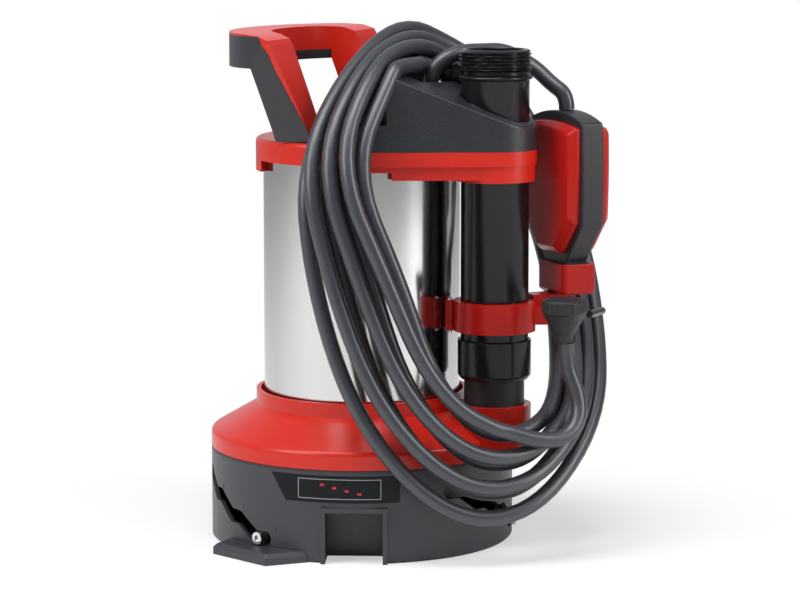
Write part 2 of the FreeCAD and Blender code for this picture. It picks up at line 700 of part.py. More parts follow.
def build_impeller():
    """An open impeller: disc above, hub and curved vanes below it."""
    radius = float(size("impeller_radius"))
    hub = float(size("impeller_hub"))
    low = float(size("impeller_bottom"))
    top = float(size("impeller_disc_top"))
    under = top - float(size("impeller_disc"))
    shape = cylinder(radius, under, top).fuse(cylinder(hub, low, top))
    vane_radius = radius * 0.62
    thick = float(size("vane_thickness"))
    centre = Vector(hub + vane_radius * 0.25, vane_radius, 0)
    ring_outer = Part.makeCylinder(vane_radius + thick / 2, under - low, Vector(centre.x, centre.y, low))
    ring_inner = Part.makeCylinder(vane_radius - thick / 2, under - low, Vector(centre.x, centre.y, low))
    zone = Part.makeBox(radius, vane_radius + 4, under - low, Vector(hub - 3, -4, low))
    vane = ring_outer.cut(ring_inner).common(zone).common(cylinder(radius, low, under))
    count = int(float(size("vane_count")))
    vanes = []
    for k in range(count):
        copy = vane.copy()
        copy.rotate(Vector(0, 0, 0), Vector(0, 0, 1), 360.0 * k / count)
        vanes.append(copy)
    shape = shape.multiFuse(vanes).cut(cylinder(size("shaft_radius"), 0, top + 1))
    return shape_part("impeller", shape.removeSplitter())


def build_impeller_nut():
    """The hexagon nut that holds the impeller on the shaft."""
    low = size("impeller_bottom") - size("nut_height")
    body = add_body("impeller_nut")
    radius = size("nut_radius")
    corners = [(radius * math.cos(math.radians(60 * k)), radius * math.sin(math.radians(60 * k)))
               for k in range(6)]
    outline = polygon_sketch(body, "nut_outline", "XY_Plane", corners, low)
    extrude(body, "nut_pad", outline, size("nut_height"))
    bore = circle_sketch(body, "nut_bore", "XY_Plane", [(0, 0, size("shaft_radius"))], low - 1)
    extrude(body, "nut_bore_cut", bore, size("nut_height") + 2, cut=True, back=True)
    return body


def build_motor_neck():
    """The flanged neck between the volute and the motor."""
    low = size("volute_top")
    top = size("bridge_bottom")
    flange = size("neck_flange")
    plate = size("neck_plate")
    neck = size("neck_radius")
    bore = size("neck_bore")
    return turned("motor_neck", [
        (bore, low), (flange, low), (flange, low + plate), (neck, low + plate),
        (neck, top - plate), (flange, top - plate), (flange, top), (bore, top),
    ])


# Motor

def build_bearing_bridges():
    """The two end plates that hold the ball bearings inside the shell."""
    seat = size("shell_radius") - size("shell_wall") - size("seat_clearance")
    flange = size("dome_flange")
    plate = size("bridge_plate")
    hub = size("bridge_hub")
    bore = size("shaft_radius") + 1.5
    low = size("bridge_bottom")
    step = size("shell_bottom") - size("gasket")
    bearing = size("lower_bearing_bottom")
    lower = turned("lower_bridge", [
        (bore, low), (flange - 0.3, low), (flange - 0.3, step), (seat, step), (seat, step + plate),
        (hub, step + plate), (hub, bearing + size("bearing_width")),
        (size("bearing_radius"), bearing + size("bearing_width")), (size("bearing_radius"), bearing),
        (bore, bearing),
    ])
    bearing = size("upper_bearing_bottom")
    high = bearing + size("bearing_width")
    lip = bearing - 3
    upper = turned("upper_bridge", [
        (bore, lip), (hub, lip), (hub, high - plate), (seat, high - plate), (seat, high),
        (size("bearing_radius"), high), (size("bearing_radius"), bearing), (bore, bearing),
    ])
    return [lower, upper]


def build_bearing(label, low):
    """A ball bearing with a groove between its rings on both faces."""
    bore = size("shaft_radius") + size("running_clearance")
    outer = size("bearing_radius")
    high = low + size("bearing_width")
    dip = 1.2
    first = bore + 3
    second = outer - 3
    return turned(label, [
        (bore, low), (first, low), (first, low + dip), (second, low + dip), (second, low), (outer, low),
        (outer, high), (second, high), (second, high - dip), (first, high - dip), (first, high),
        (bore, high),
    ])


def build_motor():
    """Shell, gaskets, stator, windings, rotor, shaft, bearings and capacitor."""
    shell_inner = size("shell_radius") - size("shell_wall")
    seat = shell_inner - size("seat_clearance")
    bottom = size("shell_bottom")
    top = size("shell_top")
    gasket = size("gasket")
    stator_low = size("stator_bottom")
    stator_high = stator_low + size("stator_height")
    shaft = size("shaft_radius")
    bore = shaft + size("running_clearance")
    lower, upper = build_bearing_bridges()
    parts = [
        ring("motor_shell", shell_inner, size("shell_radius"), bottom, top),
        ring("lower_gasket", shell_inner + 0.1, size("shell_radius") + 1, bottom - gasket, bottom),
        ring("upper_gasket", shell_inner - 0.7, size("shell_radius"), top, top + gasket),
        lower,
        upper,
        build_bearing("lower_bearing", size("lower_bearing_bottom")),
        build_bearing("upper_bearing", size("upper_bearing_bottom")),
        ring("stator_core", size("stator_bore"), seat, stator_low, stator_high),
        ring("rotor_core", shaft, size("stator_bore") - size("air_gap"), stator_low, stator_high),
        ring("shaft_seal", bore, size("seal_radius"), size("volute_top") - size("seal_height"),
             size("volute_top")),
        turned("motor_shaft", [
            (0, size("shaft_bottom")), (shaft, size("shaft_bottom")),
            (shaft, size("shaft_top")), (0, size("shaft_top")),
        ]),
    ]
    inner = float(size("winding_inner"))
    outer = float(size("winding_outer"))
    tall = float(size("winding_height"))
    coils = [cylinder(outer, z, z + tall).cut(cylinder(inner, z - 1, z + tall + 1))
             for z in (float(stator_low) - tall, float(stator_high))]
    rounded = [coil.makeFillet(4, [edge for edge in coil.Edges if edge.Curve.TypeId == "Part::GeomCircle"
                                   and abs(edge.Curve.Radius - outer) < 0.01])
               for coil in coils]
    parts.append(shape_part("stator_winding", Part.makeCompound(rounded)))
    radius = float(size("capacitor_radius"))
    length = float(size("capacitor_length"))
    floor = float(size("upper_bearing_bottom")) + float(size("bearing_width"))
    can = Part.makeCylinder(radius, length, Vector(-28, -length / 2, floor + radius), Vector(0, 1, 0))
    parts.append(shape_part("run_capacitor", can))
    block = Part.makeBox(22, 34, 11, Vector(14, -17, floor))
    for k in range(4):
        screw_hole = cylinder(2, floor + 6, floor + 12, 25, -12 + 8 * k)
        block = block.cut(screw_hole)
    parts.append(shape_part("terminal_block", block))
    return parts


# Dome

def build_dome_cover():
    """The red dome over the wet end, with a boss round the riser."""
    outer = size("base_radius")
    wall = size("dome_wall")
    neck = size("dome_neck_radius")
    flange_top = size("shell_bottom") - size("gasket")
    body = turned("dome_blank", [
        (outer - wall, size("dome_bottom")),
        (outer, size("dome_bottom")),
        (outer, size("dome_band_top")),
        (neck, size("dome_slope_top")),
        (neck, size("dome_neck_top")),
        (neck - wall, size("dome_neck_top")),
        (neck - wall, flange_top),
        (size("dome_flange"), flange_top),
        (size("dome_flange"), flange_top - wall),
        (neck - wall, flange_top - wall),
        (outer - wall, size("dome_band_top") - wall / 2),
    ])
    doc.recompute()
    turning = body.Tip
    shoulder = [
        "Edge%d" % (i + 1) for i, edge in enumerate(turning.Shape.Edges)
        if edge.Curve.TypeId == "Part::GeomCircle" and abs(edge.Curve.Radius - float(outer)) < 0.01
        and abs(edge.Curve.Center.z - float(size("dome_band_top"))) < 0.01
    ]
    fillet = body.newObject("PartDesign::Fillet", "dome_shoulder")
    fillet.Base = (turning, shoulder)
    fillet.setExpression("Radius", size("dome_round").text)
    fillet.Radius = float(size("dome_round"))
    boss = shape_part("riser_boss", cylinder(size("riser_boss_radius"), size("riser_boss_bottom"),
                                             size("riser_boss_top"), size("riser_offset")))
    whole = boolean("dome_with_boss", "Fuse", body, boss)
    room = shape_part("dome_room", riser_clearance())
    return boolean("dome_cover", "Cut", whole, room)


# Riser

def build_riser():
    """The coupling sleeve and the riser pipe with its threaded spigot."""
    x = size("riser_offset")
    wall = size("pipe_wall")
    low = size("sleeve_bottom")
    high = size("sleeve_top")
    lower = size("lower_riser_radius")
    upper = size("riser_radius")
    stop = size("lower_riser_top")
    stop_top = stop + size("socket_stop")
    sleeve_outer = size("sleeve_radius")
    gap = size("socket_gap")
    sleeve = turned("coupling_sleeve", [
        (lower + gap, low), (sleeve_outer - 2, low), (sleeve_outer, low + 3), (sleeve_outer, high),
        (upper + gap, high), (upper + gap, stop_top), (lower - wall, stop_top), (lower - wall, stop),
        (lower + gap, stop),
    ], x)
    thread = size("thread_radius")
    flange = size("spigot_flange_radius")
    flange_low = size("spigot_flange_bottom")
    flange_high = flange_low + size("spigot_flange_height")
    neck = size("spigot_neck_radius")
    thread_low = size("thread_bottom")
    foot = stop_top + size("stop_gap")
    rim = size("overall_spigot_top")
    bore = upper - wall
    pipe = turned("riser_pipe", [
        (bore, foot), (upper, foot), (upper, flange_low), (flange, flange_low),
        (flange, flange_high), (neck, flange_high), (neck, thread_low), (thread, thread_low),
        (thread, rim - 1.5), (thread - 1.5, rim),
        (bore + 1, rim), (bore, rim - 1),
    ], x)
    return [sleeve, pipe]


# Head: cap, cover and handle

def teardrop(inset, low, high):
    """A solid round the motor and the riser, joined by tangent walls."""
    big = float(size("cap_radius")) - inset
    small = float(size("cap_riser_radius")) - inset
    x = float(size("riser_offset"))
    turn = math.acos((big - small) / x)
    side = Vector(math.cos(turn), math.sin(turn), 0)
    other = Vector(side.x, -side.y, 0)
    centre = Vector(x, 0, 0)
    edges = [
        Part.Arc(side * big, Vector(-big, 0, 0), other * big).toShape(),
        Part.LineSegment(other * big, centre + other * small).toShape(),
        Part.Arc(centre + other * small, centre + Vector(small, 0, 0), centre + side * small).toShape(),
        Part.LineSegment(centre + side * small, side * big).toShape(),
    ]
    solid = Part.Face(Part.Wire(edges)).extrude(Vector(0, 0, float(high) - float(low)))
    solid.translate(Vector(0, 0, float(low)))
    return solid


def side_prism(points, half):
    """A prism along Y with this outline of X and Z, as wide as half each way."""
    corners = [Vector(x, -half, z) for x, z in points]
    return Part.Face(Part.makePolygon(corners + corners[:1])).extrude(Vector(0, 2 * half, 0))


def front_prism(points, low, high):
    """A prism along X with this outline of Y and Z."""
    corners = [Vector(low, y, z) for y, z in points]
    return Part.Face(Part.makePolygon(corners + corners[:1])).extrude(Vector(high - low, 0, 0))


def build_head_cap():
    """The red cap on the motor shell, drawn out to hold the riser."""
    band_low = float(size("cap_band_bottom"))
    band_high = float(size("cap_band_top"))
    raised = float(size("cap_raised_top"))
    skirt = float(size("cap_skirt_bottom"))
    radius = float(size("cap_radius"))
    shell = float(size("shell_radius"))
    x = float(size("riser_offset"))
    shape = teardrop(0, band_low, band_high)
    rear = cylinder(radius, band_high - 1, raised)
    rear = rear.makeFillet(3, [edge for edge in rear.Edges if edge.BoundBox.ZMin > raised - 0.01])
    rear = rear.common(side_prism([(-radius - 1, 0), (-2, 0), (-2, BEYOND), (-radius - 1, BEYOND)], radius + 1))
    skirt_ring = cylinder(radius, skirt, band_low + 1).common(
        side_prism([(-radius - 1, 0), (-0.7 * radius, 0), (-0.7 * radius, BEYOND), (-radius - 1, BEYOND)], radius))
    under = teardrop(float(size("cap_under_inset")), band_low - 9, band_low + 1)
    under = under.common(side_prism([(35, band_low - 4), (47, band_low - 4), (47, band_low - 9),
                                     (150, band_low - 9), (150, 300), (35, 300)], radius))
    socket = cylinder(float(size("riser_radius")) + 4.5, band_low - 11, band_low + 1, x)
    shape = shape.multiFuse([rear, skirt_ring, under, socket])
    gasket_top = float(size("shell_top")) + float(size("gasket"))
    shape = shape.cut(cylinder(shell + 0.1, 0, gasket_top))
    shape = shape.cut(cylinder(shell - 3, 0, band_high - 3))
    shape = shape.cut(cylinder(float(size("riser_radius")) + float(size("fit_gap")), 0, BEYOND, x))
    shape = shape.cut(handle_solid(0.2))
    return shape_part("head_cap", shape.removeSplitter())


def build_head_cover():
    """The black cover: its top slopes down to the riser, its rear is cut away for the cords."""
    base = float(size("cap_band_top"))
    peak = float(size("cover_peak"))
    peak_x = float(size("cover_peak_x"))
    slope = float(size("cover_slope"))
    x = float(size("riser_offset"))
    end = x + float(size("cap_riser_radius")) + 2
    block = teardrop(0.3, base, peak + 2)
    profile = [(4, base), (5, base + 9), (20, base + 34), (34, peak - 2.5), (peak_x - 3, peak),
               (peak_x + 2, peak - 0.5), (end, peak - slope * (end - peak_x)), (end, base)]
    shape = block.common(side_prism(profile, 90))
    notch_floor = float(size("cover_notch_floor"))
    notch = [Vector(38, -36, notch_floor), Vector(58, -27, notch_floor), Vector(61, 2, notch_floor),
             Vector(64, 80, notch_floor), Vector(-20, 80, notch_floor), Vector(-20, -12, notch_floor)]
    shape = shape.cut(Part.Face(Part.makePolygon(notch + notch[:1])).extrude(Vector(0, 0, 60)))
    top = [edge for edge in shape.Edges
           if edge.BoundBox.ZMax > base + 20 and edge.BoundBox.DiagonalLength > 30
           and edge.BoundBox.ZMin > base + 8]
    shape = shape.makeFillet(2.5, [edge for edge in top if on_teardrop_wall(edge)])
    saddle_floor = float(size("cover_saddle_floor"))
    for saddle in ([(-20, -90), (49, -90), (49, -33), (38, -33), (-20, -8)],
                   [(-20, 28), (64, 28), (64, 80), (-20, 80)]):
        corners = [Vector(px, py, saddle_floor) for px, py in saddle]
        shape = shape.cut(Part.Face(Part.makePolygon(corners + corners[:1])).extrude(Vector(0, 0, 60)))
    for extra, height in ((3.6, 14.0), (2.0, 19.0)):
        shape = shape.fuse(cylinder(float(size("riser_radius")) + extra, base, base + 12 + height, x))
    shape = shape.cut(cylinder(float(size("riser_radius")) + float(size("fit_gap")), 0, BEYOND, x))
    foot = front_point(*RELIEF_FOOT)
    pocket = float(size("relief_base_radius")) + 3
    shape = shape.cut(cylinder(pocket, notch_floor, BEYOND, foot.x, foot.y))
    shape = shape.cut(handle_solid(0.3))
    return shape_part("head_cover", shape.removeSplitter())


def on_teardrop_wall(edge):
    """True where an edge's middle lies on the outer wall of the cover."""
    middle = edge.valueAt((edge.FirstParameter + edge.LastParameter) / 2)
    probe = Part.Vertex(Vector(middle.x, middle.y, float(size("cap_band_top")) + 4))
    wall = teardrop(0.3, size("cap_band_top"), float(size("cap_band_top")) + 8)
    return wall.Shells[0].distToShape(probe)[0] < 0.05


def bail_plan(outer, inner_x, inner_y, front):
    """The plan of the bail: a half-ellipse band whose ends run to the front."""
    centre = Vector(float(size("handle_centre_x")), 0, 0)
    low = float(size("cap_band_top")) - 1.5
    outline = []
    for semi_x, semi_y in ((outer[0], outer[1]), (inner_x, inner_y)):
        if semi_y > semi_x:
            ellipse = Part.Ellipse(centre + Vector(0, semi_y, 0), centre + Vector(-semi_x, 0, 0), centre)
            arc = Part.Arc(ellipse, 0, math.pi)
        else:
            ellipse = Part.Ellipse(centre + Vector(-semi_x, 0, 0), centre + Vector(0, -semi_y, 0), centre)
            arc = Part.Arc(ellipse, -math.pi / 2, math.pi / 2)
        first, last = arc.StartPoint, arc.EndPoint
        reach = Vector(front - centre.x, 0, 0)
        wire = Part.Wire([
            arc.toShape(), Part.LineSegment(last, last + reach).toShape(),
            Part.LineSegment(last + reach, first + reach).toShape(),
            Part.LineSegment(first + reach, first).toShape(),
        ])
        solid = Part.Face(wire).extrude(Vector(0, 0, 120))
        solid.translate(Vector(0, 0, low - 10))
        outline.append(solid)
    return outline


def handle_solid(grow):
    """The whole bail, leaning back over the cap on two legs."""
    a = float(size("handle_reach"))
    b = float(size("handle_half_width"))
    bar = float(size("handle_bar"))
    under = float(size("handle_underside"))
    top = float(size("handle_top"))
    foot = float(size("cap_band_top")) + 0.5
    centre = float(size("handle_centre_x"))
    outer, inner = bail_plan((a + grow, b + grow), a - bar - grow, float(size("handle_leg_inner")) - grow, 20)
    rear = centre - a - 5
    side = side_prism([
        (rear, under - grow), (centre - 17 - grow, under + 0.8), (centre - 5.9 - grow, under - 39),
        (centre - 4.1 - grow, under - 51), (centre - 4 - grow, foot - grow), (centre + 24 + grow, foot - grow),
        (centre + 19.1 + grow, under - 36.6), (centre - 0.3 + grow, top - 8), (centre - 3, top - 3.5),
        (centre - 11, top - 0.8), (centre - 24, top + grow), (rear, top + grow),
    ], b + 5)
    wide = [(64, foot - grow), (69, 279), (78, 319), (b, 333), (b, top + 5)]
    front = front_prism([(y + grow, z) for y, z in wide] + [(-y - grow, z) for y, z in reversed(wide)],
                        rear - 5, 60)
    return outer.cut(inner).common(side).common(front)


def build_handle():
    """The red core of the handle and the black grip panel round its outside."""
    whole = handle_solid(0.0)
    skin = float(size("grip_skin"))
    a = float(size("handle_reach"))
    b = float(size("handle_half_width"))
    under = float(size("handle_underside"))
    top = float(size("handle_top"))
    centre = float(size("handle_centre_x"))
    outer, inner = bail_plan((a + 5, b + 5), a - skin, b - skin, 20)
    rear = centre - a - 5
    lean = front_prism([(64 - skin, 250), (69 - skin, 279), (78 - skin, 319), (b - skin, 333),
                        (b - skin, 360), (skin - b, 360), (skin - b, 333), (skin - 78, 319),
                        (skin - 69, 279), (skin - 64, 250)], rear - 5, 60)
    band = side_prism([
        (rear, under - 1), (centre - 17, under - 1), (centre - 2.5, under - 39),
        (centre - 1, 272), (centre + 17, 272), (centre + 14, under - 36.6),
        (centre - 3, top - 12), (centre - 10, top - 3), (rear, top - 3),
    ], b + 5)
    strip = side_prism([(rear, under - 1), (centre - 17, under - 1), (centre - 17, under + 7),
                        (rear, under + 7)], b + 5)
    panel = whole.common(band).cut(inner.common(lean))
    grip = panel.fuse(whole.common(strip)).removeSplitter()
    core = whole.cut(grip)
    return [shape_part("handle_core", core), shape_part("handle_grip", grip)]


# Holder clamp on the riser, with the float's cup

def polar_point(angle, radius, z, x=0.0, y=0.0):
    """A point at this direction and distance from an upright axis."""
    turn = math.radians(angle)
    return Vector(x + radius * math.cos(turn), y + radius * math.sin(turn), z)


def bar_between(start, end, width, low, high):
    """An upright-sided bar between two points of the plan."""
    run = end - start
    bar = Part.makeBox(run.Length, width, high - low, Vector(0, -width / 2, 0))
    turn = Rotation(Vector(0, 0, 1), math.degrees(math.atan2(run.y, run.x)))
    bar.Placement = Placement(Vector(start.x, start.y, low), turn)
    return bar


def clamp_half(front):
    """One half ring of the clamp with its knuckles and its ear."""
    x = float(size("riser_offset"))
    low = float(size("clamp_bottom"))
    high = low + float(size("clamp_height"))
    inner = float(size("riser_radius")) + float(size("fit_gap"))
    outer = float(size("clamp_radius"))
    turn = float(size("clamp_turn"))
    knuckle = float(size("knuckle_radius"))
    gap = 0.2
    ring_solid = cylinder(outer, low, high, x)
    ear_end = polar_point(turn, outer + float(size("clamp_ear")), 0, x)
    ear_start = polar_point(turn, inner + 1, 0, x)
    ear = bar_between(ear_start, ear_end, 10, low + 4, high - 4)
    shape = ring_solid.fuse(ear).cut(cylinder(inner, 0, BEYOND, x))
    half_box = Part.makeBox(2 * BEYOND, BEYOND, BEYOND, Vector(-BEYOND, gap, 0))
    if front:
        half_box = Part.makeBox(2 * BEYOND, BEYOND, BEYOND, Vector(-BEYOND, -BEYOND - gap, 0))
    half_box.Placement = Placement(Vector(x, 0, 0), Rotation(Vector(0, 0, 1), turn)).multiply(
        half_box.Placement)
    shape = shape.common(half_box)
    pin = polar_point(turn + 180, float(size("hinge_offset")), 0, x)
    third = (high - low) / 3
    own = [(low + third + 0.3, high - third - 0.3)] if front else [(low, low + third), (high - third, high)]
    others = [(low - 1, low + third + 0.3), (high - third - 0.3, high + 1)] if front else [
        (low + third - 0.3 + 0.3, high - third)]
    for z0, z1 in others:
        shape = shape.cut(cylinder(knuckle + 0.6, z0, z1, pin.x, pin.y))
    for z0, z1 in own:
        link = cylinder(knuckle, z0, z1, pin.x, pin.y).cut(cylinder(inner, 0, BEYOND, x))
        shape = shape.fuse(link)
    bore = float(size("pin_radius")) + (0.08 if front else 0.0)
    return shape.cut(cylinder(bore, 0, BEYOND, pin.x, pin.y))


def build_clamp():
    """The hinged holder clamp: rear half with its arm and cup, front half and pin."""
    x = float(size("riser_offset"))
    low = float(size("clamp_bottom"))
    high = low + float(size("clamp_height"))
    turn = float(size("clamp_turn"))
    pin = polar_point(turn + 180, float(size("hinge_offset")), 0, x)
    centre = Vector(float(size("float_x")), float(size("float_y")), 0)
    inner = float(size("riser_radius")) + float(size("fit_gap"))
    cup_low = float(size("cup_bottom"))
    arm_start = Vector(x, 0, 0) + (centre - Vector(x, 0, 0)).normalize() * (inner + 2)
    arm = bar_between(arm_start, centre, 14, low + 3, cup_low)
    rear = clamp_half(False).fuse(arm)
    return [
        shape_part("clamp_rear", rear.removeSplitter()),
        shape_part("clamp_front", clamp_half(True).removeSplitter()),
        shape_part("clamp_pin", cylinder(size("pin_radius"), low - 1.5, high + 1.5, pin.x, pin.y)),
        shape_part("float_cup", build_cup(centre, cup_low)),
    ]


def float_frame():
    """The float's own frame: X across its two shells, Y along its width."""
    turn = Rotation(Vector(0, 0, 1), float(size("float_turn")))
    return Placement(Vector(float(size("float_x")), float(size("float_y")), 0), turn)


def rounded_box(half_x, half_y, low, high, radius):
    """An upright box about the origin with rounded corners in plan."""
    box = Part.makeBox(2 * half_x, 2 * half_y, high - low, Vector(-half_x, -half_y, low))
    uprights = [edge for edge in box.Edges if edge.BoundBox.ZLength > 0.5 * (high - low)]
    return box.makeFillet(radius, uprights)


def build_cup(centre, low):
    """The open cup that the float's lower end stands in."""
    wall = float(size("cup_wall"))
    gap = float(size("cup_gap"))
    half_x = float(size("band_width")) / 2 + gap
    half_y = float(size("tongue_half_width")) + gap
    high = low + float(size("cup_height"))
    outer = rounded_box(half_x + wall, half_y + wall, low, high, 3)
    outer = outer.makeChamfer(2, [edge for edge in outer.Edges if edge.BoundBox.ZMax < low + 0.01])
    shape = outer.cut(rounded_box(half_x, half_y, low + wall, high + 1, 1.5))
    shape.Placement = float_frame().multiply(shape.Placement)
    return shape


def float_outline():
    """The band's outline: a narrow tongue below, rounded shoulders above."""
    low = float(size("float_bottom"))
    high = float(size("float_top"))
    tongue = float(size("tongue_half_width"))
    wide = float(size("float_half_width"))
    right = [(tongue - 2, low), (tongue, low + 4), (tongue, low + 19), (wide, low + 46),
             (wide - 1, high - 16), (wide - 16, high)]
    return [(y, z) for y, z in right] + [(-y, z) for y, z in reversed(right)]


def shell_outline():
    """The outline of a float shell, within the band's."""
    low = float(size("float_bottom")) + float(size("cup_height")) + 4
    high = float(size("float_top")) - 8
    wide = float(size("float_half_width")) - 4
    right = [(wide * 0.45, low), (wide, low + 22), (wide - 1, high - 12), (wide - 11, high)]
    return [(y, z) for y, z in right] + [(-y, z) for y, z in reversed(right)]


def outline_wire(points, depth):
    """A closed wire of width and height points at a depth along X."""
    corners = [Vector(depth, y, z) for y, z in points]
    return Part.makePolygon(corners + corners[:1])


def rounded_slab(points, start, thickness, corner_radius, lowest):
    """A slab of an outline whose corners above some height are rounded."""
    slab = Part.Face(outline_wire(points, start)).extrude(Vector(thickness, 0, 0))
    corners = [edge for edge in slab.Edges
               if edge.BoundBox.XLength > abs(thickness) - 0.01 and edge.BoundBox.ZMin > lowest]
    return slab.makeFillet(corner_radius, corners)


def build_float():
    """The float: black band, two red shells, and the switch in its hollow."""
    half_band = float(size("band_width")) / 2
    depth = float(size("float_half_depth"))
    middle = (float(size("float_bottom")) + float(size("float_top"))) / 2
    band = rounded_slab(float_outline(), -half_band, 2 * half_band, float(size("band_round")),
                        float(size("float_bottom")) + 25)
    pocket = Part.makeBox(2 * half_band + 2, 30, 44, Vector(-half_band - 1, -15, middle - 10))
    band = band.cut(pocket)
    switch = Part.makeBox(2 * half_band - 0.4, 29.6, 43.6, Vector(-half_band + 0.2, -14.8, middle - 9.8))
    solids = [("float_band", band), ("float_switch", switch)]
    for label, side in (("float_shell_left", 1), ("float_shell_right", -1)):
        slab = rounded_slab(shell_outline(), side * half_band, side * (depth - half_band),
                            float(size("shell_round")), 0)
        rim = [edge for edge in slab.Edges if abs(abs(edge.CenterOfMass.x) - depth) < 0.01]
        solids.append((label, slab.makeChamfer(float(size("shell_bevel")), rim)))
    parts = []
    for label, solid in solids:
        solid.Placement = float_frame().multiply(solid.Placement)
        parts.append(shape_part(label, solid))
    return parts


# Cords

def front_point(across, away, height):
    """A place in the frame that looks straight at the near side of the pump."""
    turn = math.radians(float(size("front_turn")))
    return Vector(across * math.cos(turn) - away * math.sin(turn),
                  across * math.sin(turn) + away * math.cos(turn), height)


# Routes in that frame, as across, away and height
FLOAT_CORD_POINTS = [
    (46, -22, 306), (46, -22, 314), (54, -18.8, 323), (66, -13, 327.5), (82, -6, 327.5),
]
FLOAT_DROP_POINTS = [
    (82, -6, 327.5), (94, -0.75, 327.5), (106, -5, 322.5), (117, -12, 315.5), (126, -18.5, 306.5),
    (135.9, -24.4, 299.5), (135.9, -24.4, 290),
]
MAINS_LEAD_POINTS = [(51, -6, 316), (40, -6, 319.7), (33, -17, 324), (28, -34, 327)]
PLUG_LEAD_POINTS = [
    (133, -85, 143), (133, -85, 127), (140, -88, 112), (142, -94, 95), (132, -103, 83), (113, -110.5, 83),
]
RELIEF_FOOT = (72, -6, 309)


def rounded_path(points):
    """Straight runs joined by tangent arcs as large as the runs allow."""
    edges = []
    radii = []
    start = points[0]
    for before, corner, after in zip(points, points[1:], points[2:]):
        inward = corner - before
        outward = after - corner
        half = inward.getAngle(outward) / 2
        cut = 0.45 * min(inward.Length, outward.Length)
        radius = cut / math.tan(half)
        inward.normalize()
        outward.normalize()
        arc_start = corner - inward * cut
        arc_end = corner + outward * cut
        to_centre = (outward - inward).normalize()
        middle = corner + to_centre * (radius / math.cos(half) - radius)
        edges.append(Part.LineSegment(start, arc_start).toShape())
        edges.append(Part.Arc(arc_start, middle, arc_end).toShape())
        radii.append(radius)
        start = arc_end
    edges.append(Part.LineSegment(start, points[-1]).toShape())
    return Part.Wire(edges), radii


def swept_tube(wire, start, direction, radius):
    """A solid round tube along a wire that starts here, in this direction."""
    profile = Part.Wire([Part.makeCircle(radius, start, direction)])
    shell = Part.BRepOffsetAPI.MakePipeShell(wire)
    shell.add(profile)
    shell.build()
    shell.makeSolid()
    return shell.shape()


def build_free_cord(label, points):
    """A cord along hand-set points; prints its radii and compares its volume."""
    wire, radii = rounded_path(points)
    radius = float(size("cord_radius"))
    tube = swept_tube(wire, points[0], points[1] - points[0], radius)
    share = tube.Volume / (math.pi * radius ** 2 * wire.Length)
    print("%s: length %.0f, radii %s, volume share %.4f"
          % (label, wire.Length, " ".join("%.0f" % value for value in radii), share))
    return shape_part(label, tube)


# Guide stations of the mains coil, in the same frame: the outermost and the
# innermost turn of its front layer
COIL_STATIONS = [
    ((-19, -46, 326.5), (14, -62, 333)),
    ((-37, -89.5, 262), (-2, -111.5, 262)),
    ((-31, -102, 180), (24, -120, 184)),
    ((-4, -115, 104), (43, -122, 136)),
    ((38, -121, 52), (64, -120, 108)),
    ((80, -116, 31), (86, -116, 94)),
    ((122, -96, 42), (112, -101, 92)),
    ((158, -48, 88), (133, -77, 104)),
    ((162, 10, 140), (134, -17, 145)),
    ((152, 59, 205), (126, 31, 205)),
    ((106, 60, 301), (88, 26, 292)),
    ((60, 42, 330), (66, 4, 313.5)),
    ((10, 11, 349.5), (35, -17, 330)),
]
COIL_END_STATION = 5


def coil_station(number):
    """A guide station's outermost turn, its spread, and the way to the rear layer."""
    outer, inner = [front_point(*place) for place in COIL_STATIONS[number]]
    count = len(COIL_STATIONS)
    middles = [(front_point(*a) + front_point(*b)) * 0.5 for a, b in COIL_STATIONS]
    run = middles[(number + 1) % count] - middles[number - 1]
    spread = inner - outer
    return outer, spread, spread.cross(run).normalize()


def coil_point(number, column, layer):
    """The centre of a turn at a guide station, by its column and layer."""
    outer, spread, behind = coil_station(number)
    share = column / (float(size("coil_column_count")) - 1)
    return outer + spread * share + behind * (layer * float(size("coil_layer_pitch")))


def coil_points():
    """The turns of the coil: inward in one layer, back outward in the other."""
    last = float(size("coil_column_count")) - 1
    reversal = float(size("coil_reversal"))
    stations = len(COIL_STATIONS)
    turns = 2 * last + reversal + COIL_END_STATION / stations - 0.5
    points = []
    for k in range(int(round(turns * stations)) + 1):
        lap = k / stations
        climbed = min(max((lap - last) / reversal, 0.0), 1.0)
        bulge = -float(size("coil_bulge")) * math.sin(math.pi * climbed)
        column = abs(last - lap + climbed * reversal) + bulge
        points.append(coil_point(k % stations, column, 1 - climbed))
    return points


def arc_between(start, direction, end):
    """The arc that leaves here in this direction and reaches the end."""
    chord = end - start
    angle = direction.getAngle(chord)
    if angle < 1e-4:
        return Part.LineSegment(start, end).toShape()
    along = Vector(chord).normalize()
    side = (direction - along * direction.dot(along)).normalize()
    middle = start + chord * 0.5 + side * (chord.Length / 2 * math.tan(angle / 2))
    return Part.Arc(start, middle, end).toShape()


def biarc(start, out, end, into):
    """Two arcs that join tangentially between two places and directions."""
    span = end - start
    both = out + into
    spread = 2 * (1 - out.dot(into))
    reach = span.dot(both)
    if spread < 1e-6:
        handle = span.dot(span) / (4 * span.dot(into))
    else:
        handle = (-reach + math.sqrt(reach ** 2 + spread * span.dot(span))) / spread
    join = (start + end + (out - into) * handle) * 0.5
    return arc_between(start, out, join), arc_between(end, into * -1, join), join


def coil_wire():
    """One unbroken line of biarcs through all the coil's points."""
    points = coil_points()
    last = float(size("coil_column_count")) - 1
    ahead = [coil_point(len(COIL_STATIONS) - 1, last, 1.0)] + points
    ahead.append(coil_point(COIL_END_STATION + 1, last, 0.0))
    directions = [(after - before).normalize() for before, after in zip(ahead, ahead[2:])]
    edges = []
    for start, out, end, into in zip(points, directions, points[1:], directions[1:]):
        first, second, join = biarc(start, out, end, into)
        edges.append(first)
        edges.append(second)
    return Part.Wire(edges), points, directions


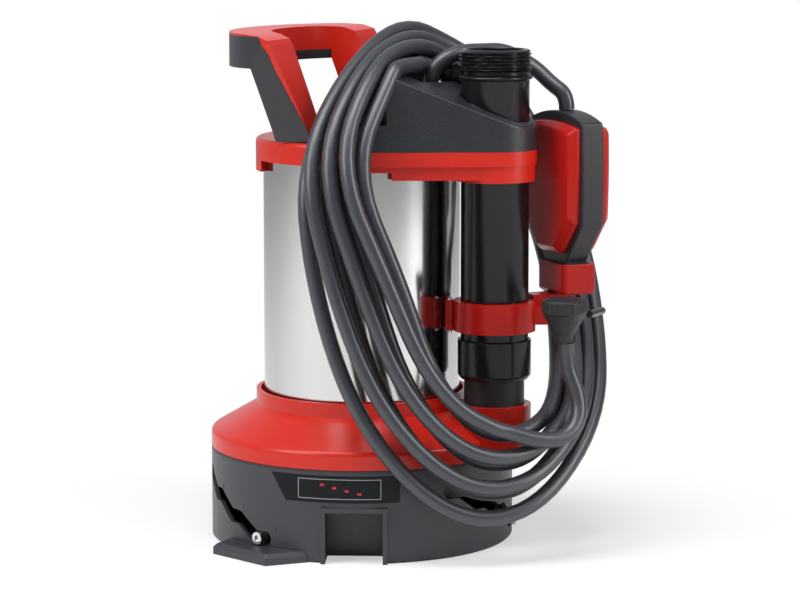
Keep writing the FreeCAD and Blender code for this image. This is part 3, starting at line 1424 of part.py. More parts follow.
def least_gap(wire, radius):
    """The least gap between turns of a wound tube, from points along it."""
    step = 4.0
    places = wire.discretize(Distance=step)
    skip = int(60 / step)
    least = 1e9
    for i, here in enumerate(places):
        for there in places[i + skip:]:
            distance = (there - here).Length
            if distance < least:
                least = distance
                where = here
    return least - 2 * radius, where


def build_mains_coil(wire, start, direction):
    """The hank of mains cord that hangs over the head and round the riser."""
    radius = float(size("cord_radius"))
    gap, where = least_gap(wire, radius)
    print("mains_coil: length %.0f, least gap %.2f at %s" % (wire.Length, gap, where))
    tube = swept_tube(wire, start, direction, radius)
    print("mains_coil: volume share %.4f" % (tube.Volume / (math.pi * radius ** 2 * wire.Length)))
    return shape_part("mains_coil", tube)


def build_float_gland():
    """The screwed gland where the float's cord enters the head."""
    foot = front_point(*FLOAT_CORD_POINTS[0])
    floor = float(size("cover_notch_floor"))
    nut_top = floor + float(size("cord_gland_nut_height"))
    half = float(size("cord_gland_radius"))
    outline = Part.makePolygon([polar_point(60 * k, half, floor, foot.x, foot.y) for k in range(7)])
    nut = Part.Face(outline).extrude(Vector(0, 0, nut_top - floor))
    collar = cylinder(size("cord_gland_collar_radius"), floor, size("cord_gland_top"), foot.x, foot.y)
    return shape_part("float_gland", nut.fuse(collar))


def build_mains_relief():
    """The gland foot and the ribbed, tapered boot that hold the mains cord."""
    foot = front_point(*RELIEF_FOOT)
    end = front_point(*MAINS_LEAD_POINTS[0])
    way = end - foot
    base_radius = float(size("relief_base_radius"))
    boot = Part.makeCone(base_radius, float(size("relief_end_radius")), way.Length, foot, way)
    knee = Part.makeSphere(base_radius, foot)
    stem = cylinder(base_radius, size("cover_notch_floor"), foot.z, foot.x, foot.y)
    shape = boot.fuse(knee).fuse(stem)
    ribs = int(float(size("relief_ribs")))
    width = float(size("relief_rib_width"))
    for k in range(ribs):
        place = foot + way * ((k + 1.6) / (ribs + 1.4))
        shape = shape.fuse(Part.makeCylinder(float(size("relief_rib_radius")), width, place, way))
    return shape_part("mains_strain_relief", shape)


def build_mains_plug():
    """The angled plug at the end of the mains cord and its two round pins."""
    tip = front_point(*PLUG_LEAD_POINTS[0])
    radius = float(size("plug_radius"))
    neck_top = tip.z + float(size("plug_neck_height"))
    rim_low = neck_top + float(size("plug_taper_height"))
    rim_high = rim_low + float(size("plug_rim_height"))
    neck = cylinder(size("plug_neck_radius"), tip.z, neck_top, tip.x, tip.y)
    taper_base = Vector(tip.x, tip.y, neck_top)
    taper = Part.makeCone(float(size("plug_neck_radius")), radius, rim_low - neck_top, taper_base)
    rim = cylinder(radius, rim_low, rim_high, tip.x, tip.y)
    depth = float(size("plug_face_depth"))
    face = Part.makeBox(2 * radius, depth, rim_high - neck_top, Vector(-radius, 0, 0))
    turn = float(size("front_turn")) + float(size("plug_face_turn"))
    face.rotate(Vector(), Vector(0, 0, 1), turn)
    face.translate(Vector(tip.x, tip.y, neck_top))
    body = neck.fuse(taper).fuse(rim).fuse(face)
    side = Vector(math.cos(math.radians(turn)), math.sin(math.radians(turn)), 0)
    back = Vector(-side.y, side.x, 0)
    middle = Vector(tip.x, tip.y, (neck_top + rim_high) / 2) + back * depth
    spread = float(size("plug_pin_spread"))
    pins = []
    for way in (-1, 1):
        pins.append(Part.makeCylinder(float(size("plug_pin_radius")), float(size("plug_pin_length")),
                                      middle + side * (way * spread), back))
    return [shape_part("mains_plug", body), shape_part("plug_pins", Part.makeCompound(pins))]


def build_cords():
    """Every cord of the pump, with its glands and its plug."""
    wire, turns, directions = coil_wire()
    run = float(size("coil_end_run"))
    mains_route = [front_point(*place) for place in MAINS_LEAD_POINTS]
    mains_route += [turns[0] - directions[0] * run, turns[0]]
    plug_route = [front_point(*place) for place in PLUG_LEAD_POINTS]
    plug_route += [turns[-1] + directions[-1] * run, turns[-1]]
    parts = [
        build_float_gland(),
        build_mains_relief(),
        build_free_cord("float_cord", [front_point(*place) for place in FLOAT_CORD_POINTS]),
        build_free_cord("float_cord_drop", [front_point(*place) for place in FLOAT_DROP_POINTS]),
        build_free_cord("mains_lead", mains_route),
        build_mains_coil(wire, turns[0], directions[0]),
        build_free_cord("plug_lead", plug_route),
    ]
    return parts + build_mains_plug()


def build_all():
    """Builds every sub-part and returns those that are written."""
    parts = [
        build_base_shell(),
        build_foot_pedal(),
        build_guide_ring(),
        build_lift_ring(),
        build_guide_screws(),
        build_lower_riser(),
        build_volute_housing(),
        build_intake_plate(),
        build_impeller(),
        build_impeller_nut(),
        build_motor_neck(),
        build_dome_cover(),
        build_head_cap(),
        build_head_cover(),
    ]
    parts += build_motor()
    parts += build_riser()
    parts += build_handle()
    parts += build_clamp()
    parts += build_float()
    parts += build_cords()
    return parts


def check_all(parts):
    """Stops where an object failed or a sub-part has no valid solid."""
    for item in doc.Objects:
        if "Invalid" in item.State or "Error" in item.State:
            raise RuntimeError("%s failed: %s" % (item.Label, item.State))
    for part in parts:
        if part.Shape.isNull() or not part.Shape.isValid() or not part.Shape.Solids:
            raise RuntimeError("%s has no valid solid" % part.Label)


def write_all(parts):
    """Writes each sub-part's shape to its own file."""
    os.makedirs("parts", exist_ok=True)
    for part in parts:
        part.Shape.exportStep("parts/%s.step" % part.Label)
    print("%d sub-parts written" % len(parts))


all_parts = build_all()
doc.recompute()
check_all(all_parts)
write_all(all_parts)
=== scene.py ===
"""Looks of a submersible sump pump: finishes, cords, fine pieces, floor, light and camera."""

from __future__ import annotations

import json
import logging
import math
from dataclasses import dataclass
from enum import Enum

import bmesh
import bpy
import numpy as np
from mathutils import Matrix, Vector

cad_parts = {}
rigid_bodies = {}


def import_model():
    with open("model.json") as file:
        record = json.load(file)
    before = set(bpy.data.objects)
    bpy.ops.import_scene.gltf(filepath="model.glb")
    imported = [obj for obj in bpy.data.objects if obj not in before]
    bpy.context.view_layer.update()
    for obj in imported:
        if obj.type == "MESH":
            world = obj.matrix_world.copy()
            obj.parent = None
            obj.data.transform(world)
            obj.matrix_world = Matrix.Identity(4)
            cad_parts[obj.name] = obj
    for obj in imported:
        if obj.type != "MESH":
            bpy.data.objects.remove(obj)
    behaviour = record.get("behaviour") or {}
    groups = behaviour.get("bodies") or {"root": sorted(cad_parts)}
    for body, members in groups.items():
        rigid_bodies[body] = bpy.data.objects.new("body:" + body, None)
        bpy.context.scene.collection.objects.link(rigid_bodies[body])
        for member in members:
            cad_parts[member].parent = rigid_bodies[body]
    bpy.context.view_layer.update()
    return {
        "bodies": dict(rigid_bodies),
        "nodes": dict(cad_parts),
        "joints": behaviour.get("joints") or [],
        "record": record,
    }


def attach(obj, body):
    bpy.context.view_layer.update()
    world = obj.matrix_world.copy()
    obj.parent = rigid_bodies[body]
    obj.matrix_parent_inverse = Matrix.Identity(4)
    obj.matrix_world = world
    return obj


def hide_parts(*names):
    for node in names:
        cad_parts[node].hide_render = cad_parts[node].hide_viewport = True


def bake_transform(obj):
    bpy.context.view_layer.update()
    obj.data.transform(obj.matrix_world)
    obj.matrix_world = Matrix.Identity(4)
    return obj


LOG = logging.getLogger("pump")

Pair = tuple[float, float]
Triple = tuple[float, float, float]
Corners = tuple[Pair, ...]

# The straight-on view's turn, the riser's place in millimetres, and how near two doubles lie in metres.
FRONT_TURN = math.radians(25.5)
RISER_X = 97.3
MERGE_REACH = 1e-6


class Body(str, Enum):
    """The moving groups that pieces ride on."""

    BASE = "base"
    GUIDE = "guide"
    PUMP = "pump"
    ROTOR = "rotor"
    CLAMP = "clamp"
    FLOAT = "float"


class Closing(Enum):
    """How a grid of points closes: an open sheet, a tube with two lids, or a ring both ways round."""

    SHEET = "sheet"
    TUBE = "tube"
    RING = "ring"


def turned(x: float | np.ndarray, y: float | np.ndarray, angle: float) -> tuple:
    """Turns places round the upright axis: x' = x cos a - y sin a, y' = x sin a + y cos a.

    Args:
        x: Places along the first axis.
        y: Places along the second axis.
        angle: The turn in radians.

    Returns:
        The turned x and y.
    """
    cos, sin = math.cos(angle), math.sin(angle)
    return x * cos - y * sin, x * sin + y * cos


def front(across: float, away: float, height: float) -> np.ndarray:
    """Turns a place in the straight-on view into the object's own frame.

    Args:
        across: Millimetres to the right.
        away: Millimetres away from the viewer.
        height: Millimetres above the floor.

    Returns:
        The place in metres.
    """
    return np.array((*turned(across, away, FRONT_TURN), height)) / 1000.0


class NodeCanvas:
    """A small helper that adds, feeds and joins shader nodes."""

    def __init__(self, tree: bpy.types.NodeTree) -> None:
        """Keeps the tree that nodes go into."""
        self.tree = tree

    def feed(self, node: bpy.types.Node, values: dict[str | int, object]) -> None:
        """Links sockets to a node's inputs, or sets the inputs to plain values.

        Args:
            node: The node.
            values: A socket, number or colour for each input, by name or place.
        """
        for key, value in values.items():
            if isinstance(value, bpy.types.NodeSocket):
                self.tree.links.new(value, node.inputs[key])
            else:
                node.inputs[key].default_value = value

    def add(self, kind: str, values: dict[str | int, object] | None = None,
            **settings: object) -> bpy.types.Node:
        """Adds a node, sets its properties and feeds its inputs.

        Args:
            kind: Node class name.
            values: What its inputs get.
            settings: Properties by name.

        Returns:
            The new node.
        """
        node = self.tree.nodes.new(kind)
        for name, setting in settings.items():
            setattr(node, name, setting)
        self.feed(node, values or {})
        return node

    def math(self, kind: str, first: object, second: object = 0.0) -> bpy.types.NodeSocket:
        """Adds a math node fed by sockets or numbers.

        Args:
            kind: The operation.
            first: Socket or number.
            second: Socket or number.

        Returns:
            The result socket.
        """
        return self.add("ShaderNodeMath", {0: first, 1: second}, operation=kind).outputs[0]

    def stretch(self, place: bpy.types.NodeSocket, factors: Triple) -> bpy.types.NodeSocket:
        """Multiplies a place by a factor along each axis.

        Args:
            place: The place's socket.
            factors: One number for each axis.

        Returns:
            The stretched place's socket.
        """
        return self.add("ShaderNodeVectorMath", {0: place, 1: factors}, operation="MULTIPLY").outputs[0]

    def mix(self, share: bpy.types.NodeSocket, first: object, second: object) -> bpy.types.NodeSocket:
        """Mixes two colours, each a socket or three numbers.

        Args:
            share: How much of the second colour shows.
            first: The first colour.
            second: The second colour.

        Returns:
            The mixed colour's socket.
        """
        node = self.add("ShaderNodeMix", {"Factor": share}, data_type="RGBA")
        for name, value in (("A", first), ("B", second)):
            place = [s.name == name and s.type == "RGBA" for s in node.inputs].index(True)
            plain = not isinstance(value, bpy.types.NodeSocket)
            self.feed(node, {place: (*value, 1.0) if plain else value})
        return [s for s in node.outputs if s.type == "RGBA"][0]


def new_group(name: str, scales: dict[str, float],
              outputs: tuple[str, str]) -> tuple[NodeCanvas, object, bpy.types.Node]:
    """Makes an empty shader group that takes a place and some scales, and puts out two numbers.

    Args:
        name: Name of the group.
        scales: Default of each scale by name.
        outputs: Names of the numbers it puts out.

    Returns:
        A canvas for its nodes, the sockets that come in and the node that takes what goes out.
    """
    tree = bpy.data.node_groups.new(name, "ShaderNodeTree")
    tree.interface.new_socket("Vector", in_out="INPUT", socket_type="NodeSocketVector")
    for label, scale in scales.items():
        socket = tree.interface.new_socket(label, in_out="INPUT", socket_type="NodeSocketFloat")
        socket.default_value = scale
    for label in outputs:
        tree.interface.new_socket(label, in_out="OUTPUT", socket_type="NodeSocketFloat")
    canvas = NodeCanvas(tree)
    return canvas, canvas.add("NodeGroupInput").outputs, canvas.add("NodeGroupOutput")


@dataclass(frozen=True)
class MouldedGrain:
    """Moulded grain: rounded cells broken up by fine noise, and a soft large-scale mottle."""

    fine_ratio: float = 1.7
    fine_share: float = 0.6

    def build(self) -> bpy.types.NodeTree:
        """Makes the group: height = cells + share * fine noise.

        Returns:
            The group.
        """
        canvas, given, end = new_group("moulded_grain", {"Scale": 900.0, "Mottle Scale": 14.0},
                                       ("Height", "Mottle"))
        place = given["Vector"]
        cells = canvas.add("ShaderNodeTexVoronoi", {"Vector": place, "Scale": given["Scale"]},
                           feature="SMOOTH_F1")
        fine_scale = canvas.math("MULTIPLY", given["Scale"], self.fine_ratio)
        fine = canvas.add("ShaderNodeTexNoise", {"Vector": place, "Scale": fine_scale, "Detail": 3.0})
        mottle = canvas.add("ShaderNodeTexNoise", {
            "Vector": place, "Scale": given["Mottle Scale"], "Detail": 4.0, "Roughness": 0.62})
        rough = canvas.math("MULTIPLY", fine.outputs["Fac"], self.fine_share)
        canvas.feed(end, {"Height": canvas.math("ADD", cells.outputs["Distance"], rough),
                          "Mottle": mottle.outputs["Fac"]})
        return canvas.tree


@dataclass(frozen=True)
class HandlingMarks:
    """Handling marks as masks: thin scratches, in patches only, and faint dust."""

    stretch: Triple = (1.0, 1.0, 0.12)
    scratch_width: float = 0.004
    patch_from: float = 0.56
    dust_from: float = 0.42
    dust_gain: float = 2.2

    def build(self) -> bpy.types.NodeTree:
        """Makes the group: a scratch is where |noise - 1/2| is less than its width.

        Returns:
            The group.
        """
        canvas, given, end = new_group("handling_marks", {"Scale": 60.0}, ("Scratches", "Dust"))
        warp = canvas.add("ShaderNodeTexNoise", {"Vector": given["Vector"], "Scale": 9.0}).outputs["Fac"]
        drawn = canvas.stretch(given["Vector"], self.stretch)
        fine = canvas.add("ShaderNodeTexNoise", {"Vector": drawn, "Scale": given["Scale"], "Detail": 5.0})
        off_middle = canvas.math("ABSOLUTE", canvas.math("SUBTRACT", fine.outputs["Fac"], 0.5))
        line = canvas.math("LESS_THAN", off_middle, self.scratch_width)
        patch = canvas.math("GREATER_THAN", warp, self.patch_from)
        soft = canvas.math("MULTIPLY", canvas.math("SUBTRACT", warp, self.dust_from), self.dust_gain)
        canvas.feed(end, {"Scratches": canvas.math("MULTIPLY", line, patch),
                          "Dust": canvas.math("MINIMUM", canvas.math("MAXIMUM", soft, 0.0), 1.0)})
        return canvas.tree


@dataclass(frozen=True)
class DrawnLines:
    """Drawn-metal lines round the upright axis: noise stretched along the surface."""

    stretch: Triple = (0.012, 0.012, 1.0)

    def build(self) -> bpy.types.NodeTree:
        """Makes the group, which puts out a height and a slow tone change.

        Returns:
            The group.
        """
        canvas, given, end = new_group("drawn_lines", {"Line Scale": 2600.0}, ("Height", "Tone"))
        drawn = canvas.stretch(given["Vector"], self.stretch)
        scale = given["Line Scale"]
        lines = canvas.add("ShaderNodeTexNoise", {"Vector": drawn, "Scale": scale, "Detail": 2.0})
        tone = canvas.add("ShaderNodeTexNoise", {"Vector": given["Vector"], "Scale": 7.0, "Detail": 2.0})
        canvas.feed(end, {"Height": lines.outputs["Fac"], "Tone": tone.outputs["Fac"]})
        return canvas.tree


class Effects:
    """Shader groups that several finishes share."""

    def __init__(self) -> None:
        """Builds every group once."""
        self.grain = MouldedGrain().build()
        self.wear = HandlingMarks().build()
        self.brushing = DrawnLines().build()


def new_material(name: str) -> tuple[bpy.types.Material, NodeCanvas, bpy.types.Node]:
    """Makes a material with one Principled shader.

    Args:
        name: The material's name.

    Returns:
        The material, a canvas for its nodes and the shader node.
    """
    material = bpy.data.materials.new(name)
    material.use_nodes = True
    canvas = NodeCanvas(material.node_tree)
    return material, canvas, material.node_tree.nodes["Principled BSDF"]


@dataclass(frozen=True)
class Moulding:
    """A moulded plastic or rubber finish.

    Colour, its mottled second tone, gloss, grain size and depth are its facts.
    """

    name: str
    colour: Triple
    tone: Triple
    roughness: float = 0.5
    roughness_spread: float = 0.12
    grain_scale: float = 1100.0
    grain_depth: float = 3e-5
    mottle_scale: float = 16.0
    specular: float = 0.36
    dust_share: float = 0.18
    scratch_share: float = 0.25
    pale_gain: float = 1.15
    pale_lift: float = 0.014

    def build(self, effects: Effects) -> bpy.types.Material:
        """Makes the node material.

        Args:
            effects: The shared shader groups.

        Returns:
            The material.
        """
        material, canvas, shader = new_material(self.name)
        place = canvas.add("ShaderNodeTexCoord").outputs["Object"]
        grain = canvas.add("ShaderNodeGroup", node_tree=effects.grain)
        canvas.feed(grain, {"Vector": place, "Scale": self.grain_scale, "Mottle Scale": self.mottle_scale})
        marks = canvas.add("ShaderNodeGroup", node_tree=effects.wear)
        canvas.feed(marks, {"Vector": place})
        mottle = grain.outputs["Mottle"]
        pale = tuple(min(1.0, self.pale_gain * part + self.pale_lift) for part in self.tone)
        colour = canvas.mix(mottle, self.colour, self.tone)
        for mask, share in (("Dust", self.dust_share), ("Scratches", self.scratch_share)):
            colour = canvas.mix(canvas.math("MULTIPLY", marks.outputs[mask], share), colour, pale)
        spread = canvas.math("MULTIPLY", mottle, self.roughness_spread)
        rough = canvas.math("ADD", spread, self.roughness - self.roughness_spread / 2)
        bump = canvas.add("ShaderNodeBump", {"Distance": self.grain_depth, "Height": grain.outputs["Height"]})
        canvas.feed(shader, {"Base Color": colour, "Roughness": rough, "Specular IOR Level": self.specular,
                             "Normal": bump.outputs["Normal"]})
        return material


@dataclass(frozen=True)
class Metal:
    """A drawn, cast or ground metal finish."""

    name: str
    colour: Triple
    tone: Triple
    roughness: float = 0.25
    line_scale: float = 2600.0
    line_depth: float = 4e-6
    line_spread: float = 0.08
    dust_spread: float = 0.05

    def build(self, effects: Effects) -> bpy.types.Material:
        """Makes the node material.

        Args:
            effects: The shared shader groups.

        Returns:
            The material.
        """
        material, canvas, shader = new_material(self.name)
        place = canvas.add("ShaderNodeTexCoord").outputs["Object"]
        lines = canvas.add("ShaderNodeGroup", node_tree=effects.brushing)
        canvas.feed(lines, {"Vector": place, "Line Scale": self.line_scale})
        marks = canvas.add("ShaderNodeGroup", node_tree=effects.wear)
        canvas.feed(marks, {"Vector": place})
        height = lines.outputs["Height"]
        spread = canvas.math("MULTIPLY", height, self.line_spread)
        rough = canvas.math("ADD", spread, self.roughness - self.line_spread / 2)
        dusty = canvas.math("MULTIPLY", marks.outputs["Dust"], self.dust_spread)
        bump = canvas.add("ShaderNodeBump", {"Distance": self.line_depth, "Height": height})
        canvas.feed(shader, {"Base Color": canvas.mix(lines.outputs["Tone"], self.colour, self.tone),
                             "Metallic": 1.0, "Roughness": canvas.math("ADD", rough, dusty),
                             "Normal": bump.outputs["Normal"]})
        return material


def link_piece(name: str, data: bpy.types.ID) -> bpy.types.Object:
    """Makes an object at the origin and links it to the scene.

    Args:
        name: Name of the object.
        data: Its mesh, curve, lamp or camera data.

    Returns:
        The object.
    """
    piece = bpy.data.objects.new(name, data)
    bpy.context.scene.collection.objects.link(piece)
    return piece


def vertex_places(mesh: bpy.types.Mesh) -> np.ndarray:
    """Reads the places of a mesh's vertices.

    Args:
        mesh: The mesh.

    Returns:
        One row of three coordinates for each vertex.
    """
    flat = np.empty(len(mesh.vertices) * 3)
    mesh.vertices.foreach_get("co", flat)
    return flat.reshape(-1, 3)


def grid_mesh(name: str, points: np.ndarray, closing: Closing, crease: float) -> bpy.types.Object:
    """Makes a mesh from a grid of points, with a quad between each four neighbours.

    Doubles are merged, faces turned outwards and the mesh is shaded smooth.

    Args:
        name: Name of the piece.
        points: Array of rows, columns and three coordinates in metres.
        closing: How the grid closes. A tube's columns run round it.
        crease: Edges sharper than this many degrees stay crisp.

    Returns:
        The new object at the origin.
    """
    rows, columns = points.shape[:2]
    u = np.arange(rows if closing is Closing.RING else rows - 1)
    v = np.arange(columns - 1 if closing is Closing.SHEET else columns)
    a, b = np.meshgrid(u, v, indexing="ij")
    up, over = (a + 1) % rows, (b + 1) % columns
    quads = np.stack((a * columns + b, a * columns + over, up * columns + over, up * columns + b), -1)
    faces = quads.reshape(-1, 4).tolist()
    if closing is Closing.TUBE:
        faces += [list(range(columns))[::-1], list(range((rows - 1) * columns, rows * columns))]
    mesh = bpy.data.meshes.new(name)
    mesh.from_pydata(points.reshape(-1, 3).tolist(), [], faces)
    work = bmesh.new()
    work.from_mesh(mesh)
    bmesh.ops.remove_doubles(work, verts=work.verts, dist=MERGE_REACH)
    bmesh.ops.recalc_face_normals(work, faces=work.faces)
    work.to_mesh(mesh)
    work.free()
    mesh.shade_smooth()
    mesh.set_sharp_from_angle(angle=math.radians(crease))
    return link_piece(name, mesh)


def round_edges(piece: bpy.types.Object, width: float, crease: float) -> bpy.types.Modifier:
    """Rounds the edges sharper than the crease, and evens the normals on what is flat.

    Args:
        piece: The object.
        width: Width of the rounding in millimetres.
        crease: The angle in degrees.

    Returns:
        The rounding, for further settings.
    """
    edge = piece.modifiers.new("rounding", "BEVEL")
    edge.width = width / 1000.0
    edge.segments = 3
    edge.limit_method = "ANGLE"
    edge.angle_limit = math.radians(crease)
    piece.modifiers.new("even_normals", "WEIGHTED_NORMAL")
    return edge


def full_turn(columns: int) -> np.ndarray:
    """Evenly spaced angles round a circle, one for each column."""
    return np.linspace(0.0, 2 * np.pi, columns, endpoint=False)


def around(radius: float, turn: np.ndarray, height: np.ndarray | float) -> np.ndarray:
    """Places on an upright cylinder: x = r sin a, y = -r cos a in the straight-on view.

    Args:
        radius: Radius in millimetres.
        turn: Angles from the viewer's side, in degrees, positive to the right.
        height: Heights in millimetres.

    Returns:
        Places in metres in the object's own frame.
    """
    angle = np.radians(turn) - math.pi / 2 + FRONT_TURN
    x, y = radius * np.cos(angle), radius * np.sin(angle)
    return np.stack((x, y, np.broadcast_to(height, angle.shape)), -1) / 1000.0


def dress(piece: bpy.types.Object, material: bpy.types.Material, body: Body) -> None:
    """Gives a piece its finish and the body it rides on.

    Args:
        piece: The object.
        material: Its finish.
        body: The moving group.
    """
    piece.data.materials.clear()
    piece.data.materials.append(material)
    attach(piece, body.value)
    LOG.info("%s rides on %s", piece.name, body.value)


# Stations round the hank: a place on its outer side, then one on its inner side.
COIL_STATIONS = (
    ((-15.5, -39.3, 313.4), (13, -67.1, 325.4)),
    ((-43.8, -90, 261.9), (-12, -111.6, 262.1)),
    ((-31, -102, 180), (24, -120, 184)),
    ((-4, -115, 104), (43, -122, 136)),
    ((38, -121, 52), (64, -120, 108)),
    ((80, -116, 31), (86, -116, 94)),
    ((122, -96, 42), (112, -101, 92)),
    ((158, -48, 88), (133, -77, 104)),
    ((162, 10, 140), (134, -17, 145)),
    ((152, 59, 205), (126, 31, 205)),
    ((106, 60, 301), (88, 25.7, 291.9)),
    ((59.8, 42.3, 332.1), (66.8, 3.9, 312.9)),
    ((23.6, 10.2, 349.9), (41.1, -19.8, 331)),
)


@dataclass
class CordSet:
    """The mains cord in its hank and the float's cord, as smooth curves."""

    cord_radius: float = 0.0052
    columns: int = 4
    layer_pitch: float = 12.2
    reversal: float = 0.5
    bulge: float = 0.2
    end_station: int = 5
    end_run: float = 8.0
    float_segments: int = 20
    float_crease: float = 40.0
    least_step: float = 1e-5
    float_route: tuple[Triple, ...] = (
        (46, -22, 306), (46, -22, 314), (54, -18.8, 323), (66, -13, 327.5), (82, -6, 327.5),
        (94, -0.75, 327.5), (106, -5, 322.5), (117, -12, 315.5), (126, -18.5, 306.5),
        (135.9, -24.4, 299.5), (135.9, -24.4, 290))
    lead_route: tuple[Triple, ...] = (
        (51, -6, 316), (49.8, -15, 316.4), (37.4, -22.7, 320.3), (39.1, -37.6, 320.8))
    plug_route: tuple[Triple, ...] = (
        (133, -85, 143), (133, -85, 127), (140, -88, 112), (142, -94, 95), (132, -103, 83),
        (113, -110.5, 83))

    def coil_place(self, number: int, column: float, layer: float) -> np.ndarray:
        """The centre of a turn: outer place, moved along the spread and to the rear layer.

        Args:
            number: Guide station.
            column: Column counted from outside.
            layer: 0 in front, 1 behind.

        Returns:
            The place in metres.
        """
        pairs = [(front(*a), front(*b)) for a, b in COIL_STATIONS]
        middles = [(a + b) / 2 for a, b in pairs]
        outer, inner = pairs[number]
        spread = inner - outer
        run = middles[(number + 1) % len(pairs)] - middles[number - 1]
        behind = np.cross(spread, run)
        behind /= np.linalg.norm(behind)
        return outer + spread * (column / (self.columns - 1)) + behind * (layer * self.layer_pitch / 1000.0)

    def coil_route(self) -> list[np.ndarray]:
        """The hank's turns: inward in the rear layer, back in the front one.

        Returns:
            The places in metres.
        """
        last = self.columns - 1
        stations = len(COIL_STATIONS)
        turns = 2 * last + self.reversal + self.end_station / stations - 0.5
        places = []
        for k in range(int(round(turns * stations)) + 1):
            lap = k / stations
            climbed = min(max((lap - last) / self.reversal, 0.0), 1.0)
            column = abs(last - lap + climbed * self.reversal) - self.bulge * math.sin(math.pi * climbed)
            places.append(self.coil_place(k % stations, column, 1.0 - climbed))
        return places

    def mains_route(self) -> list[np.ndarray]:
        """The whole mains cord from its strain relief to its plug.

        Returns:
            The places in metres.
        """
        coil = self.coil_route()
        last = self.columns - 1
        into = coil[1] - self.coil_place(len(COIL_STATIONS) - 1, last, 1.0)
        out = self.coil_place(self.end_station + 1, last, 0.0) - coil[-2]
        run = self.end_run / 1000.0
        first = coil[0] - into / np.linalg.norm(into) * run
        final = coil[-1] + out / np.linalg.norm(out) * run
        start = [front(*place) for place in self.lead_route]
        end = [front(*place) for place in self.plug_route][::-1]
        return start + [first] + coil + [final] + end

    def line(self, name: str, route: list[np.ndarray]) -> tuple[bpy.types.Object, np.ndarray]:
        """A NURBS spline with these control points, and the places it runs through.

        Args:
            name: Name of the piece.
            route: Control places in metres.

        Returns:
            The curve object and the places along it.
        """
        data = bpy.data.curves.new(name, "CURVE")
        data.dimensions = "3D"
        spline = data.splines.new("NURBS")
        spline.points.add(len(route) - 1)
        for point, place in zip(spline.points, route):
            point.co = (*place, 1.0)
        spline.order_u = 3
        spline.use_endpoint_u = True
        spline.resolution_u = 6
        piece = link_piece(name, data)
        bare = bpy.data.meshes.new_from_object(piece)
        path = vertex_places(bare)
        bpy.data.meshes.remove(bare)
        return piece, path

    def tube(self, name: str, places: np.ndarray) -> bpy.types.Object:
        """Makes a round closed tube through places: p(s, t) = c(s) + r (n cos t + b sin t).

        Args:
            name: Name of the piece.
            places: Centre places in metres.

        Returns:
            The new object.
        """
        ways = np.gradient(places, axis=0)
        ways /= np.linalg.norm(ways, axis=1, keepdims=True)
        first = np.cross(ways, (1.0, 0.0, 0.0))
        first /= np.linalg.norm(first, axis=1, keepdims=True)
        second = np.cross(ways, first)
        turn = full_turn(self.float_segments)[None, :, None]
        ring = first[:, None, :] * np.cos(turn) + second[:, None, :] * np.sin(turn)
        points = places[:, None, :] + ring * self.cord_radius
        return grid_mesh(name, points, Closing.TUBE, self.float_crease)

    def build(self, finish: bpy.types.Material, plug_pieces: list[object]) -> None:
        """Args:
            finish: The sheath's material.
            plug_pieces: What hangs on the mains cord's end. Not used.
        """
        mains, path = self.line("mains_cord", self.mains_route())
        mains.data.bevel_depth = self.cord_radius
        mains.data.bevel_resolution = 5
        mains.data.use_fill_caps = True
        dress(mains, finish, Body.PUMP)
        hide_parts("mains_lead", "mains_coil", "plug_lead")
        route = [front(*place) for place in self.float_route]
        guide, path = self.line("float_cord_route", route)
        bpy.data.objects.remove(guide)
        keep = np.concatenate(([True], np.linalg.norm(np.diff(path, axis=0), axis=1) > self.least_step))
        path = path[keep]
        drop = self.tube("float_cord_tube", path)
        drop.data.materials.append(finish)
        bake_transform(drop)
        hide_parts("float_cord", "float_cord_drop")


